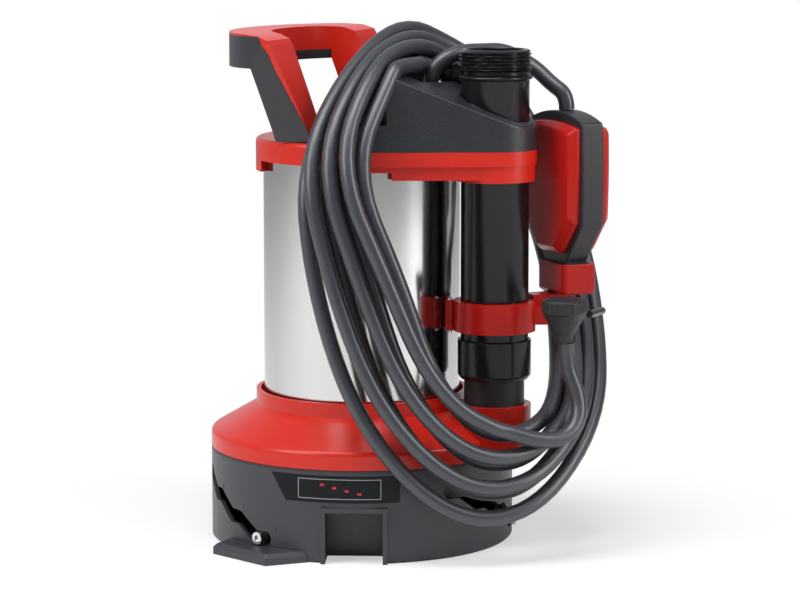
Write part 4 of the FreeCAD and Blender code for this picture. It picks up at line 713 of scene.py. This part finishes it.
@dataclass
class SoftenedShells:
    """Copies of the moulded pieces whose sharp edges get the roundings of a mould.

    Sizes are millimetres in the object's own frame. The ridge is where the cover's sloping plane starts, by x
    and z. The corners at its end lie at ridge_end's x, at less than its y and more than its z. The grip's
    levels are its foot, the bar's underside and the bar's top.
    """

    crease: float = 32.0
    merge_reach: float = 2e-6
    flat_within: float = 0.4
    slope: float = 0.43
    ridge: Pair = (42.5, 316.0)
    ring_radii: Pair = (24.6, 26.2)
    ring_step: float = 0.7
    ridge_end: Triple = (49.0, -30.0, 282.0)
    ridge_end_depth: float = 0.05
    ridge_end_top: float = 284.0
    ridge_way: Triple = (-1.0, -0.493, 0.0)
    ridge_run: float = 4.0
    grip_levels: Triple = (273.0, 300.0, 336.0)
    grip_middle: float = -20.0
    grip_reach: Pair = (3.7, 5.0)
    grip_drop: float = 1.4
    grip_rise: float = 1.8
    grip_proud: float = 0.35
    widths: tuple[tuple[str, float], ...] = (
        ("base_shell", 0.7), ("foot_pedal", 0.9), ("dome_cover", 0.7), ("head_cap", 0.9), ("head_cover", 1.0),
        ("handle_core", 1.3), ("handle_grip", 1.3), ("coupling_sleeve", 0.6), ("clamp_rear", 0.7),
        ("clamp_front", 0.7), ("float_cup", 0.9), ("mains_strain_relief", 0.5), ("float_gland", 0.6))

    def plane_cover(self, places: np.ndarray) -> np.ndarray:
        """Lowers the rings round the riser to low steps on the slope, and lengthens the ridge.

        Each ring stands one step over the sloping plane: z = min(z, plane + step * count).

        Args:
            places: Corners of the head cover in millimetres, one row each.

        Returns:
            The changed corners.
        """
        x, y, z = places.T
        plane = self.ridge[1] - self.slope * (x - self.ridge[0])
        out = np.hypot(x - RISER_X, y)
        count = np.select([out < radius for radius in self.ring_radii], [2.0, 1.0], np.inf)
        places[:, 2] = np.minimum(z, plane + self.ring_step * count)
        end_x, end_y, end_z = self.ridge_end
        end = (np.abs(x - end_x) < self.ridge_end_depth) & (y < end_y) & (z > end_z)
        places[end] += np.array(self.ridge_way) * self.ridge_run
        places[end & (z > self.ridge_end_top), 2] += self.slope * self.ridge_run
        return places

    def widen_grip(self, places: np.ndarray) -> np.ndarray:
        """Draws the black panel over the whole outside of the legs and up to the bar's top.

        Args:
            places: Corners of the grip panel in millimetres, one row each.

        Returns:
            The changed corners.
        """
        x, y, z = places.T
        foot, bar, top = self.grip_levels
        back = (z < bar) & (x < self.grip_middle)
        ahead = (z < bar) & (x >= self.grip_middle)
        places[back, 0] -= self.grip_reach[0]
        places[ahead, 0] += self.grip_reach[1]
        places[z < foot, 2] -= self.grip_drop
        places[z > top, 2] += self.grip_rise
        places[:, 1] += np.sign(y) * self.grip_proud
        return places

    def soften(self, node: bpy.types.Object, name: str, width: float) -> bpy.types.Object:
        """Makes the rounded copy of one piece.

        Args:
            node: The carried-over piece.
            name: Name of the copy.
            width: Width of the rounding in millimetres.

        Returns:
            The copy.
        """
        work = bmesh.new()
        work.from_mesh(node.data)
        bmesh.ops.remove_doubles(work, verts=work.verts, dist=self.merge_reach)
        change = {"head_cover_rounded": self.plane_cover, "handle_grip_rounded": self.widen_grip}.get(name)
        if change is not None:
            places = change(np.array([vertex.co for vertex in work.verts]) * 1000.0) / 1000.0
            for vertex, place in zip(work.verts, places):
                vertex.co = place
        bmesh.ops.dissolve_limit(work, angle_limit=math.radians(self.flat_within), verts=work.verts,
                                 edges=work.edges)
        bmesh.ops.recalc_face_normals(work, faces=work.faces)
        mesh = bpy.data.meshes.new(name)
        work.to_mesh(mesh)
        work.free()
        mesh.shade_smooth()
        piece = link_piece(name, mesh)
        round_edges(piece, width, self.crease).miter_outer = "MITER_ARC"
        return piece

    def build(self, frame: dict, materials: dict[str, bpy.types.Material], slots: dict[str, str]) -> None:
        """Replaces each listed piece with its rounded copy.

        Args:
            frame: The loaded frame.
            materials: Finishes by slot name.
            slots: Slot name of each node.
        """
        homes = frame["record"]["behaviour"]["bodies"]
        for node, width in self.widths:
            home = next(body for body, members in homes.items() if node in members)
            piece = self.soften(frame["nodes"][node], node + "_rounded", width)
            dress(piece, materials[slots[node]], Body(home))
            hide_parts(node)


@dataclass
class FloatBody:
    """The float: a black band and two red shells, all with arched tops."""

    centre: Pair = (133.3, 36.0)
    turn: float = 50.5
    half_band: float = 7.9
    half_depth: float = 15.8
    band_foot: Corners = ((13.0, 171.0), (15.0, 174.0), (15.0, 190.0), (37.0, 217.0))
    band_top: tuple[float, ...] = (35.6, 281.5, 2.5, 5.5)
    shell_foot: Corners = ((14.0, 195.8), (33.0, 217.6))
    shell_top: tuple[float, ...] = (33.6, 278.2, 2.0, 3.0)
    shell_sunk: float = 0.3
    shell_bevel: float = 4.2
    bulge: float = 0.9
    edge: float = 1.0
    crease: float = 28.0
    side_steps: int = 12
    corner_steps: int = 4
    crown_steps: int = 24

    def outline(self, foot: Corners, top: tuple[float, ...]) -> np.ndarray:
        """A closed outline of width and height.

        Each side bows out by a half sine, the shoulder is a quarter circle and the crown a parabola.

        Args:
            foot: Corners of the right side from the bottom up.
            top: Half width and height of the shoulder, its rounding and the rise of the crown.

        Returns:
            One row for each point.
        """
        wide, shoulder, rounding, rise = top
        share = np.linspace(0.0, 1.0, self.side_steps + 1)[1:-1]
        low = np.array(foot[-1])
        side = low + (np.array((wide, shoulder)) - low) * share[:, None]
        side[:, 0] += self.bulge * np.sin(math.pi * share)
        bend = np.linspace(0.0, math.pi / 2, self.corner_steps + 1)
        corner = np.stack((wide - rounding + rounding * np.cos(bend), shoulder + rounding * np.sin(bend)), -1)
        span = np.linspace(1.0, -1.0, self.crown_steps + 1)[1:-1]
        crown = np.stack(((wide - rounding) * span, shoulder + rounding + rise * (1.0 - span ** 2)), -1)
        right = np.concatenate((np.array(foot), side, corner))
        left = right[::-1] * (-1.0, 1.0)
        return np.concatenate((right, crown, left))

    def slab(self, name: str, outline: np.ndarray, steps: list[Pair]) -> bpy.types.Object:
        """A slab whose outline shrinks towards its middle at each step.

        Args:
            name: Name of the piece.
            outline: Its full outline.
            steps: Depth and inset of each step.

        Returns:
            The slab.
        """
        low, high = outline.min(axis=0), outline.max(axis=0)
        middle, reach = (low + high) / 2, (high - low) / 2
        rows = []
        for depth, inset in steps:
            y, z = (middle + (outline - middle) * (1.0 - inset / reach)).T
            x, y = turned(depth, y, math.radians(self.turn))
            rows.append(np.stack((self.centre[0] + x, self.centre[1] + y, z), -1))
        piece = grid_mesh(name, np.array(rows) / 1000.0, Closing.TUBE, self.crease)
        round_edges(piece, self.edge, self.crease)
        return piece

    def build(self, band: bpy.types.Material, shells: bpy.types.Material) -> None:
        """Makes the band and both shells.

        Args:
            band: Finish of the band.
            shells: Finish of the shells.
        """
        half, sunk = self.half_band, self.half_band - self.shell_sunk
        deep, bevel = self.half_depth, self.shell_bevel
        piece = self.slab("float_band_arched", self.outline(self.band_foot, self.band_top),
                          [(-half, 0.0), (half, 0.0)])
        dress(piece, band, Body.FLOAT)
        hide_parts("float_band")
        outline = self.outline(self.shell_foot, self.shell_top)
        for node, side in (("float_shell_left", 1.0), ("float_shell_right", -1.0)):
            steps = [(side * sunk, 0.0), (side * (deep - bevel), 0.0), (side * deep, bevel)]
            piece = self.slab(node + "_arched", outline, steps)
            dress(piece, shells, Body.FLOAT)
            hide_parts(node)


@dataclass
class CoverRib:
    """The upright rib behind the cover's ridge that holds the hank off the motor.

    Its length and thickness are ranges of x and y in millimetres, in the object's own frame.
    """

    length: Pair = (14.0, 43.0)
    thickness: Pair = (18.6, 27.6)
    foot: float = 282.9
    shoulder: float = 309.0
    crown: float = 313.2
    steps: int = 9
    pinch: float = 0.02
    crease: float = 30.0

    def build(self, material: bpy.types.Material) -> None:
        """Draws the rib's side outline, arched at both ends, through its thickness.

        Args:
            material: The cover's finish.
        """
        bend = np.linspace(0.0, math.pi / 2, self.steps)
        rise = self.crown - self.shoulder
        low, high = self.length
        arc, climb = rise - rise * np.cos(bend), self.shoulder + rise * np.sin(bend)
        along = np.concatenate(([low], low + arc, (high - arc)[::-1], [high]))
        height = np.concatenate(([self.foot], climb, climb[::-1], [self.foot]))
        rows = np.stack([np.stack((along, np.full(along.shape, depth), height), -1)
                         for depth in np.repeat(self.thickness, 2)])
        middle = rows.mean(axis=1, keepdims=True)
        ends = [0, -1]
        rows[ends] = middle[ends] + (rows[ends] - middle[ends]) * self.pinch
        piece = grid_mesh("cover_rib", rows / 1000.0, Closing.TUBE, self.crease)
        dress(piece, material, Body.PUMP)


@dataclass
class DischargePipe:
    """The riser pipe with its bead and its cut thread.

    Sizes are millimetres: pipe, bore, bead, neck and crest are radii, and foot, bead_height, thread_low and
    rim are heights. The pipe stops bead_clear's first number below the bead's middle, and the neck starts its
    second number above it. The rim's edges are how far its two outer corners lie inside the crest, and the
    bevel at the bore.
    """

    pipe: float = 22.5
    bore: float = 19.0
    foot: float = 127.1
    foot_edge: float = 0.6
    bead: float = 24.6
    bead_height: float = 312.8
    bead_half: float = 1.35
    bead_bend: float = 1.25
    bead_steps: int = 8
    bead_clear: Pair = (2.2, 1.9)
    neck: float = 22.0
    crest: float = 23.9
    depth: float = 1.48
    pitch: float = 2.309
    tooth_gain: float = 1.5
    tooth_cut: float = 0.25
    thread_low: float = 317.2
    run_in: float = 1.6
    run_out: float = 0.9
    rim: float = 331.0
    rim_flat: float = 0.4
    rim_edges: Triple = (1.7, 2.1, 0.7)
    columns: int = 128
    rows_per_pitch: int = 10
    crease: float = 38.0

    def profile(self) -> np.ndarray:
        """Radius and height along the plain outside, then a row for each thread step.

        Returns:
            Rows of radius, height and share of thread depth.
        """
        edge, below, above = self.foot_edge, *self.bead_clear
        crest_edge, crest_end, bore_edge = self.rim_edges
        low = [(self.bore, self.foot + edge, 0), (self.bore + edge, self.foot, 0),
               (self.pipe - edge, self.foot, 0), (self.pipe, self.foot + edge, 0),
               (self.pipe, self.bead_height - below, 0)]
        wide, tall = self.bead - self.pipe, self.bead_half
        bead = [(self.pipe + wide * math.cos(t), self.bead_height + tall * math.sin(t), 0)
                for t in np.linspace(-self.bead_bend, self.bead_bend, self.bead_steps + 1)]
        neck = [(self.neck, self.bead_height + above, 0), (self.neck, self.thread_low - edge, 0)]
        steps = int((self.rim - self.thread_low) / self.pitch * self.rows_per_pitch)
        heights = np.linspace(self.thread_low, self.rim - self.run_out, steps)
        share = np.clip(np.minimum((heights - self.thread_low) / self.run_in,
                                   (self.rim - self.rim_flat - heights) / self.run_out), 0, 1)
        thread = [(self.crest, z, s) for z, s in zip(heights, share)]
        high = [(self.crest - crest_edge, self.rim - self.rim_flat / 2, 0),
                (self.crest - crest_end, self.rim, 0), (self.bore + bore_edge, self.rim, 0),
                (self.bore, self.rim - bore_edge, 0)]
        return np.array(low + bead + neck + thread + high)

    def build(self, material: bpy.types.Material) -> None:
        """Turns the profile round the riser's axis and cuts the thread into it.

        A place is (axis + r cos t, r sin t, z), with r = crest - depth (1 - tooth(z / pitch - t / 2 pi))
        where the share is 1. The tooth is a triangle wave with its tops and roots cut flat.

        Args:
            material: The pipe's finish.
        """
        radius, height, share = (column[:, None] for column in self.profile().T)
        turn = full_turn(self.columns)[None, :]
        phase = height / self.pitch - turn / (2 * np.pi)
        wave = np.abs(2.0 * (phase - np.floor(phase)) - 1.0)
        tooth = np.clip(wave * self.tooth_gain - self.tooth_cut, 0.0, 1.0)
        reach = radius - np.where(share > 0, self.depth * (1.0 - tooth * share), 0.0)
        grid = np.stack((RISER_X + reach * np.cos(turn), reach * np.sin(turn),
                         np.broadcast_to(height, reach.shape)), -1) / 1000.0
        piece = grid_mesh("discharge_pipe", grid, Closing.RING, self.crease)
        dress(piece, material, Body.PUMP)
        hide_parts("riser_pipe")


@dataclass
class MainsPlug:
    """The plug that hangs on the cord's end: tapered neck under a ridged oval body.

    Each section holds its height, half width, half depth, shift to the rear and squareness.
    """

    place: Triple = (131.0, -85.0, 143.0)
    face_turn: float = -30.0
    ridges: int = 26
    ridge_depth: float = 0.035
    ridge_band: Pair = (19.8, 27.2)
    ridge_fade: float = 1.2
    columns: int = 156
    rows_per_section: int = 4
    crease: float = 50.0
    sections: tuple[tuple[float, ...], ...] = (
        (0.0, 5.3, 5.3, 0.0, 2.0), (0.4, 5.7, 5.7, 0.0, 2.0), (5.4, 6.4, 6.4, 0.0, 2.0),
        (6.0, 7.0, 6.8, 0.2, 2.2), (12.0, 9.9, 9.6, 1.0, 2.5), (18.6, 12.9, 12.4, 1.6, 2.8),
        (19.6, 13.7, 13.1, 1.6, 3.0), (20.4, 14.0, 13.3, 1.6, 3.0), (26.4, 14.0, 13.3, 1.6, 3.0),
        (27.4, 13.6, 12.9, 1.6, 3.0), (28.4, 12.2, 11.5, 1.6, 2.8), (29.2, 8.8, 8.2, 1.6, 2.4),
        (29.6, 3.0, 3.0, 1.6, 2.0))

    def build(self, material: bpy.types.Material) -> bpy.types.Object:
        """Lofts the sections: |x / a|^n + |y / b|^n = 1, with ridges where the body is widest.

        Args:
            material: The body's finish.

        Returns:
            The plug.
        """
        last = len(self.sections) - 1
        fine = np.linspace(0, last, self.rows_per_section * last + 1)
        height, wide, deep, shift, power = (np.interp(fine, np.arange(last + 1), column)[:, None]
                                            for column in np.array(self.sections).T)
        turn = full_turn(self.columns)[None, :]
        reach = (np.abs(np.cos(turn)) ** power + np.abs(np.sin(turn)) ** power) ** (-1.0 / power)
        low, high = self.ridge_band
        band = np.clip(np.minimum(height - low, high - height) / self.ridge_fade, 0.0, 1.0)
        ridge = 1.0 - self.ridge_depth * band * (0.5 - 0.5 * np.cos(self.ridges * turn))
        x = wide * reach * np.cos(turn) * ridge
        y = deep * reach * np.sin(turn) * ridge + shift
        x, y = turned(x, y, FRONT_TURN + math.radians(self.face_turn))
        grid = front(*self.place) + np.stack((x, y, np.broadcast_to(height, x.shape)), -1) / 1000.0
        piece = grid_mesh("mains_plug_body", grid, Closing.TUBE, self.crease)
        dress(piece, material, Body.PUMP)
        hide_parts("mains_plug")
        return piece


@dataclass
class BaseMarkings:
    """The bare dark panel on the base with a plain frame and bars, and step numbers.

    Directions are degrees from the viewer's side, and heights and thicknesses millimetres. A box is its
    left edge above and below, its right edge, and its low and high place. The frame is its left, right, low
    and high edge, and pairs for the bars are a direction and a height.
    """

    radius: float = 102.0
    panel: tuple[float, ...] = (-35.3, -29.1, 14.0, 40.4, 58.2)
    frame: tuple[float, ...] = (-24.0, 7.0, 42.8, 56.0)
    line_height: float = 0.4
    line_width: float = 0.23
    bars: int = 4
    bar_place: Pair = (-15.5, 51.4)
    bar_step: Pair = (4.6, -1.9)
    bar_size: Pair = (1.5, 1.6)
    panel_lift: float = 0.22
    mark_lift: float = 0.30
    patch_thickness: float = 0.3
    patch_rows: int = 5
    panel_columns: int = 64
    mark_columns: int = 24
    numbers: tuple[tuple[str, float, float], ...] = (
        ("3", -66.0, 38.5), ("2", -51.0, 30.0), ("1", -34.5, 18.0))
    number_size: float = 4.2
    number_raise: float = 0.3
    number_lift: float = 0.05

    def patch(self, name: str, box: tuple[float, ...], lift: float, columns: int) -> bpy.types.Object:
        """A thin slab bent round the base.

        Args:
            name: Name of the piece.
            box: Its edges.
            lift: Height above the wall.
            columns: Points along the bend.

        Returns:
            The slab.
        """
        left_high, left_low, right, low, high = box
        share = np.linspace(0.0, 1.0, self.patch_rows)[:, None]
        along = np.linspace(0.0, 1.0, columns)[None, :]
        left = left_low + (left_high - left_low) * share
        turn = left + (right - left) * along
        places = around(self.radius + lift, turn, low + (high - low) * share)
        piece = grid_mesh(name, places, Closing.SHEET, 0.0)
        piece.data.shade_flat()
        slab = piece.modifiers.new("thickness", "SOLIDIFY")
        slab.thickness = self.patch_thickness / 1000.0
        slab.offset = -1.0
        return piece

    def marks(self) -> list[tuple[float, ...]]:
        """The boxes of the frame's four lines and then of the bars."""
        left, right, low, high = self.frame
        tall, wide = self.line_height, self.line_width
        boxes = [(left, left, right, high - tall, high), (left, left, right, low, low + tall),
                 (left, left, left + wide, low, high), (right - wide, right - wide, right, low, high)]
        for number in range(self.bars):
            start = self.bar_place[0] + self.bar_step[0] * number
            foot = self.bar_place[1] + self.bar_step[1] * number
            boxes.append((start, start, start + self.bar_size[0], foot, foot + self.bar_size[1]))
        return boxes

    def build(self, panel: bpy.types.Material, frame: bpy.types.Material, accent: bpy.types.Material,
              digits: bpy.types.Material) -> None:
        """Makes the panel, its marks and the numbers.

        Args:
            panel: Finish of the panel.
            frame: Finish of the frame's thin lines.
            accent: Finish of the bars.
            digits: Finish of the numbers.
        """
        slab = self.patch("base_panel", self.panel, self.panel_lift, self.panel_columns)
        dress(slab, panel, Body.BASE)
        boxes = self.marks()
        lines = len(boxes) - self.bars
        for number, box in enumerate(boxes):
            mark = self.patch("base_mark_%d" % number, box, self.mark_lift, self.mark_columns)
            dress(mark, frame if number < lines else accent, Body.BASE)
        for text, turn, height in self.numbers:
            self.number(text, turn, height, digits)

    def number(self, text: str, turn: float, height: float, material: bpy.types.Material) -> None:
        """A raised plain number bent round the wall.

        Args:
            text: The number.
            turn: Direction of its left edge.
            height: Height of its foot.
            material: Its finish.
        """
        data = bpy.data.curves.new("step_" + text, "FONT")
        data.body = text
        data.size = self.number_size
        data.extrude = self.number_raise
        data.resolution_u = 4
        guide = link_piece("step_" + text, data)
        mesh = bpy.data.meshes.new_from_object(guide)
        bpy.data.objects.remove(guide)
        flat = vertex_places(mesh)
        places = around(1.0, turn + np.degrees(flat[:, 0] / self.radius), 0.0)
        places[:, :2] *= (self.radius + self.number_lift + flat[:, 2])[:, None]
        places[:, 2] = (height + flat[:, 1]) / 1000.0
        mesh.vertices.foreach_set("co", places.reshape(-1))
        dress(link_piece("step_number_" + text, mesh), material, Body.BASE)


def face(thing: bpy.types.Object, place: Triple, aim: Triple) -> None:
    """Puts a lamp or camera at a place and turns it to face another place."""
    thing.location = place
    thing.rotation_euler = (Vector(aim) - Vector(place)).to_track_quat("-Z", "Y").to_euler()


@dataclass(frozen=True)
class Lamp:
    """A soft rectangular lamp, placed in millimetres in the straight-on view, with its size in metres."""

    name: str
    place: Triple
    size: Pair
    watts: float

    def build(self, aim: Triple) -> None:
        """Hangs the lamp so that it faces a place given in metres."""
        data = bpy.data.lights.new(self.name, "AREA")
        data.shape = "RECTANGLE"
        data.size, data.size_y = self.size
        data.energy = self.watts
        face(link_piece(self.name, data), tuple(front(*self.place)), aim)


@dataclass
class Studio:
    """Floor, lamps, world and camera.

    Each band of the world holds its direction in degrees from the right, and its colour.
    """

    camera_place: Triple = (4.15, -2074.5, 459.1)
    camera_aim: Triple = (25.7, 0.0, 175.3)
    lens: float = 139.6
    sensor: float = 36.0
    shift: float = -0.03
    floor_half: float = 6.0
    floor_colour: Triple = (0.88, 0.88, 0.88)
    shadow_reach: Pair = (0.13, 0.34)
    shadow_lift: float = 0.45
    ambient: float = 0.26
    ceiling: Triple = (0.45, 0.45, 0.49)
    ceiling_rise: Pair = (0.30, 0.75)
    lamp_aim: Triple = (0.0, 0.0, 0.15)
    lamps: tuple[Lamp, ...] = (
        Lamp("key", (-1500, -900, 1500), (1.0, 1.6), 30.0), Lamp("fill", (1500, -700, 900), (0.4, 1.5), 17.0),
        Lamp("top", (-200, -500, 2000), (1.4, 0.8), 26.0))
    bands: tuple[tuple[float, ...], ...] = (
        (-180.0, 0.44, 0.425, 0.40), (-150.0, 0.40, 0.39, 0.37), (-127.0, 0.40, 0.39, 0.37),
        (-116.0, 0.05, 0.05, 0.06), (-64.0, 0.04, 0.045, 0.06), (-56.0, 0.12, 0.13, 0.17),
        (-50.0, 0.16, 0.17, 0.22), (-44.0, 0.66, 0.66, 0.72), (-20.0, 0.54, 0.54, 0.58),
        (-12.0, 0.02, 0.02, 0.025), (28.0, 0.02, 0.02, 0.025), (36.0, 0.34, 0.34, 0.37),
        (72.0, 0.30, 0.30, 0.33), (84.0, 0.78, 0.78, 0.80), (120.0, 0.66, 0.66, 0.72),
        (158.0, 0.70, 0.70, 0.76), (166.0, 0.50, 0.49, 0.46))

    def floor(self) -> None:
        """A plain pale floor: lit and shadowed near the object, plain white to the camera further out."""
        half = self.floor_half
        mesh = bpy.data.meshes.new("floor")
        mesh.from_pydata([(-half, -half, 0), (half, -half, 0), (half, half, 0), (-half, half, 0)], [],
                         [(0, 1, 2, 3)])
        material, canvas, shader = new_material("pale_floor")
        canvas.feed(shader, {"Base Color": (*self.floor_colour, 1.0), "Roughness": 0.7,
                             "Specular IOR Level": 0.1})
        place = canvas.add("ShaderNodeTexCoord").outputs["Object"]
        distance = canvas.add("ShaderNodeVectorMath", {0: place}, operation="LENGTH")
        near, far = self.shadow_reach
        share = canvas.add("ShaderNodeMapRange", {
            "Value": distance.outputs["Value"], "From Min": near, "From Max": far,
            "To Min": self.shadow_lift, "To Max": 1.0}, interpolation_type="SMOOTHSTEP")
        mix = canvas.add("ShaderNodeMixShader", {
            "Fac": canvas.math("MULTIPLY", self.seen(canvas), share.outputs["Result"]),
            1: shader.outputs[0], 2: canvas.add("ShaderNodeEmission").outputs[0]})
        canvas.feed(material.node_tree.nodes["Material Output"], {"Surface": mix.outputs[0]})
        mesh.materials.append(material)
        link_piece("floor", mesh)

    def seen(self, canvas: NodeCanvas) -> bpy.types.NodeSocket:
        """Makes the mask of rays that come straight, or through glass, from the camera.

        Args:
            canvas: Where the nodes go.

        Returns:
            The mask's socket.
        """
        paths = canvas.add("ShaderNodeLightPath")
        return canvas.math("MAXIMUM", paths.outputs["Is Camera Ray"], paths.outputs["Is Transmission Ray"])

    def world(self) -> None:
        """White to the camera, a soft grey light, and upright bands of a studio for reflections."""
        world = bpy.data.worlds.new("studio")
        bpy.context.scene.world = world
        world.use_nodes = True
        canvas = NodeCanvas(world.node_tree)
        way = canvas.add("ShaderNodeTexCoord").outputs["Generated"]
        parts = canvas.add("ShaderNodeSeparateXYZ", {0: way})
        angle = canvas.math("ARCTAN2", parts.outputs["Y"], parts.outputs["X"])
        turned = canvas.math("ADD", angle, 3.0 * math.pi - FRONT_TURN)
        share = canvas.math("FRACT", canvas.math("DIVIDE", turned, 2.0 * math.pi))
        ramp = canvas.add("ShaderNodeValToRGB", {"Fac": share})
        steps = ramp.color_ramp.elements
        for _ in range(len(self.bands) - len(steps)):
            steps.new(0.5)
        for step, (turn, *colour) in zip(steps, self.bands):
            step.position = (turn + 180.0) / 360.0
            step.color = (*colour, 1.0)
        low, high = self.ceiling_rise
        rise = canvas.add("ShaderNodeMapRange", {
            "Value": parts.outputs["Z"], "From Min": low, "From Max": high}, interpolation_type="SMOOTHSTEP")
        banded = canvas.mix(rise.outputs["Result"], ramp.outputs["Color"], self.ceiling)
        glossy = canvas.add("ShaderNodeLightPath").outputs["Is Glossy Ray"]
        colour = canvas.mix(glossy, (self.ambient,) * 3, banded)
        white = canvas.mix(self.seen(canvas), colour, (1.0, 1.0, 1.0))
        canvas.feed(world.node_tree.nodes["Background"], {"Color": white, "Strength": 1.0})

    def camera(self) -> None:
        """The camera at the photograph's place."""
        data = bpy.data.cameras.new("camera")
        data.lens = self.lens
        data.sensor_width = self.sensor
        data.shift_y = self.shift
        camera = link_piece("camera", data)
        face(camera, tuple(front(*self.camera_place)), tuple(front(*self.camera_aim)))
        bpy.context.scene.camera = camera

    def build(self) -> None:
        """Sets the whole studio up."""
        self.floor()
        self.world()
        for lamp in self.lamps:
            lamp.build(self.lamp_aim)
        self.camera()
        bpy.context.scene.view_settings.view_transform = "Standard"


FINISHES = (
    Moulding("black_shell", (0.027, 0.028, 0.035), (0.034, 0.035, 0.043), 0.40, 0.12, 1500.0, specular=0.5),
    Moulding("dark_inner_plastic", (0.02, 0.02, 0.021), (0.028, 0.028, 0.03), 0.5),
    Moulding("red_shell", (0.50, 0.014, 0.006), (0.56, 0.018, 0.008), 0.3, 0.1, 1300.0, 1.2e-5),
    Moulding("black_textured", (0.012, 0.013, 0.017), (0.018, 0.019, 0.024), 0.38, 0.12, 900.0, 1.2e-4,
             specular=0.5),
    Moulding("gaskets", (0.015, 0.015, 0.015), (0.02, 0.02, 0.02), 0.7),
    Moulding("capacitor_case", (0.6, 0.6, 0.57), (0.66, 0.66, 0.63), 0.4),
    Moulding("terminal_white", (0.7, 0.7, 0.68), (0.76, 0.76, 0.73), 0.35),
    Moulding("black_pipe", (0.005, 0.005, 0.007), (0.008, 0.008, 0.010), 0.24, 0.1, 1600.0, 1.2e-5,
             specular=0.3),
    Moulding("red_clamp", (0.36, 0.007, 0.004), (0.42, 0.010, 0.006), 0.26, 0.08, 1300.0, 1e-5,
             specular=0.2),
    Moulding("red_float", (0.36, 0.007, 0.004), (0.42, 0.010, 0.006), 0.26, 0.08, 1300.0, 1e-5,
             specular=0.22),
    Moulding("black_band", (0.016, 0.016, 0.020), (0.023, 0.023, 0.028), 0.42),
    Moulding("switch_case", (0.45, 0.45, 0.43), (0.5, 0.5, 0.48), 0.4),
    Moulding("cord_rubber", (0.026, 0.028, 0.035), (0.038, 0.040, 0.048), 0.36, 0.1, 2400.0, 5e-6, 40.0, 0.7),
    Moulding("black_fitting", (0.013, 0.013, 0.015), (0.019, 0.019, 0.022), 0.45),
    Moulding("panel_gloss", (0.004, 0.005, 0.007), (0.006, 0.007, 0.009), 0.3, 0.06, 900.0, 4e-6,
             specular=0.16),
    Moulding("mark_grey", (0.30, 0.31, 0.33), (0.34, 0.35, 0.37), 0.45),
    Moulding("mark_red", (0.42, 0.012, 0.02), (0.48, 0.016, 0.024), 0.4),
    Moulding("digit_black", (0.07, 0.07, 0.08), (0.10, 0.10, 0.11), 0.4),
    Moulding("seal_face", (0.55, 0.53, 0.5), (0.6, 0.58, 0.54), 0.25),
    Metal("bright_screws", (0.62, 0.62, 0.63), (0.7, 0.7, 0.71), 0.22),
    Metal("brushed_shell", (0.55, 0.55, 0.56), (0.60, 0.60, 0.605), 0.12),
    Metal("bridge_metal", (0.55, 0.55, 0.56), (0.6, 0.6, 0.61), 0.45),
    Metal("bearing_steel", (0.6, 0.6, 0.62), (0.65, 0.65, 0.67), 0.2),
    Metal("core_laminations", (0.25, 0.25, 0.27), (0.3, 0.3, 0.32), 0.45, 9000.0),
    Metal("copper_winding", (0.6, 0.25, 0.12), (0.66, 0.3, 0.15), 0.35, 6000.0),
    Metal("pin_brass", (0.16, 0.16, 0.17), (0.2, 0.2, 0.21), 0.3),
)


def dress_nodes(frame: dict, materials: dict[str, bpy.types.Material]) -> None:
    """Gives every carried-over node the finish of its record slot.

    Args:
        frame: The loaded frame.
        materials: Finishes by slot name.
    """
    for entry in frame["record"]["subparts"]:
        for place in frame["nodes"][entry["node"]].material_slots:
            place.link = "OBJECT"
            place.material = materials[entry["material_slot"]]


def main() -> None:
    """Builds the whole dressed pump."""
    logging.basicConfig(level=logging.INFO, format="%(message)s")
    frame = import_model()
    effects = Effects()
    materials = {finish.name: finish.build(effects) for finish in FINISHES}
    dress_nodes(frame, materials)
    slots = {entry["node"]: entry["material_slot"] for entry in frame["record"]["subparts"]}
    SoftenedShells().build(frame, materials, slots)
    FloatBody().build(materials["black_band"], materials["red_float"])
    CoverRib().build(materials["black_textured"])
    DischargePipe().build(materials["black_pipe"])
    plug = MainsPlug().build(materials["black_fitting"])
    BaseMarkings().build(materials["panel_gloss"], materials["mark_grey"], materials["mark_red"],
                         materials["digit_black"])
    CordSet().build(materials["cord_rubber"], [plug, frame["nodes"]["plug_pins"]])
    Studio().build()


if __name__ == "__main__":
    main()
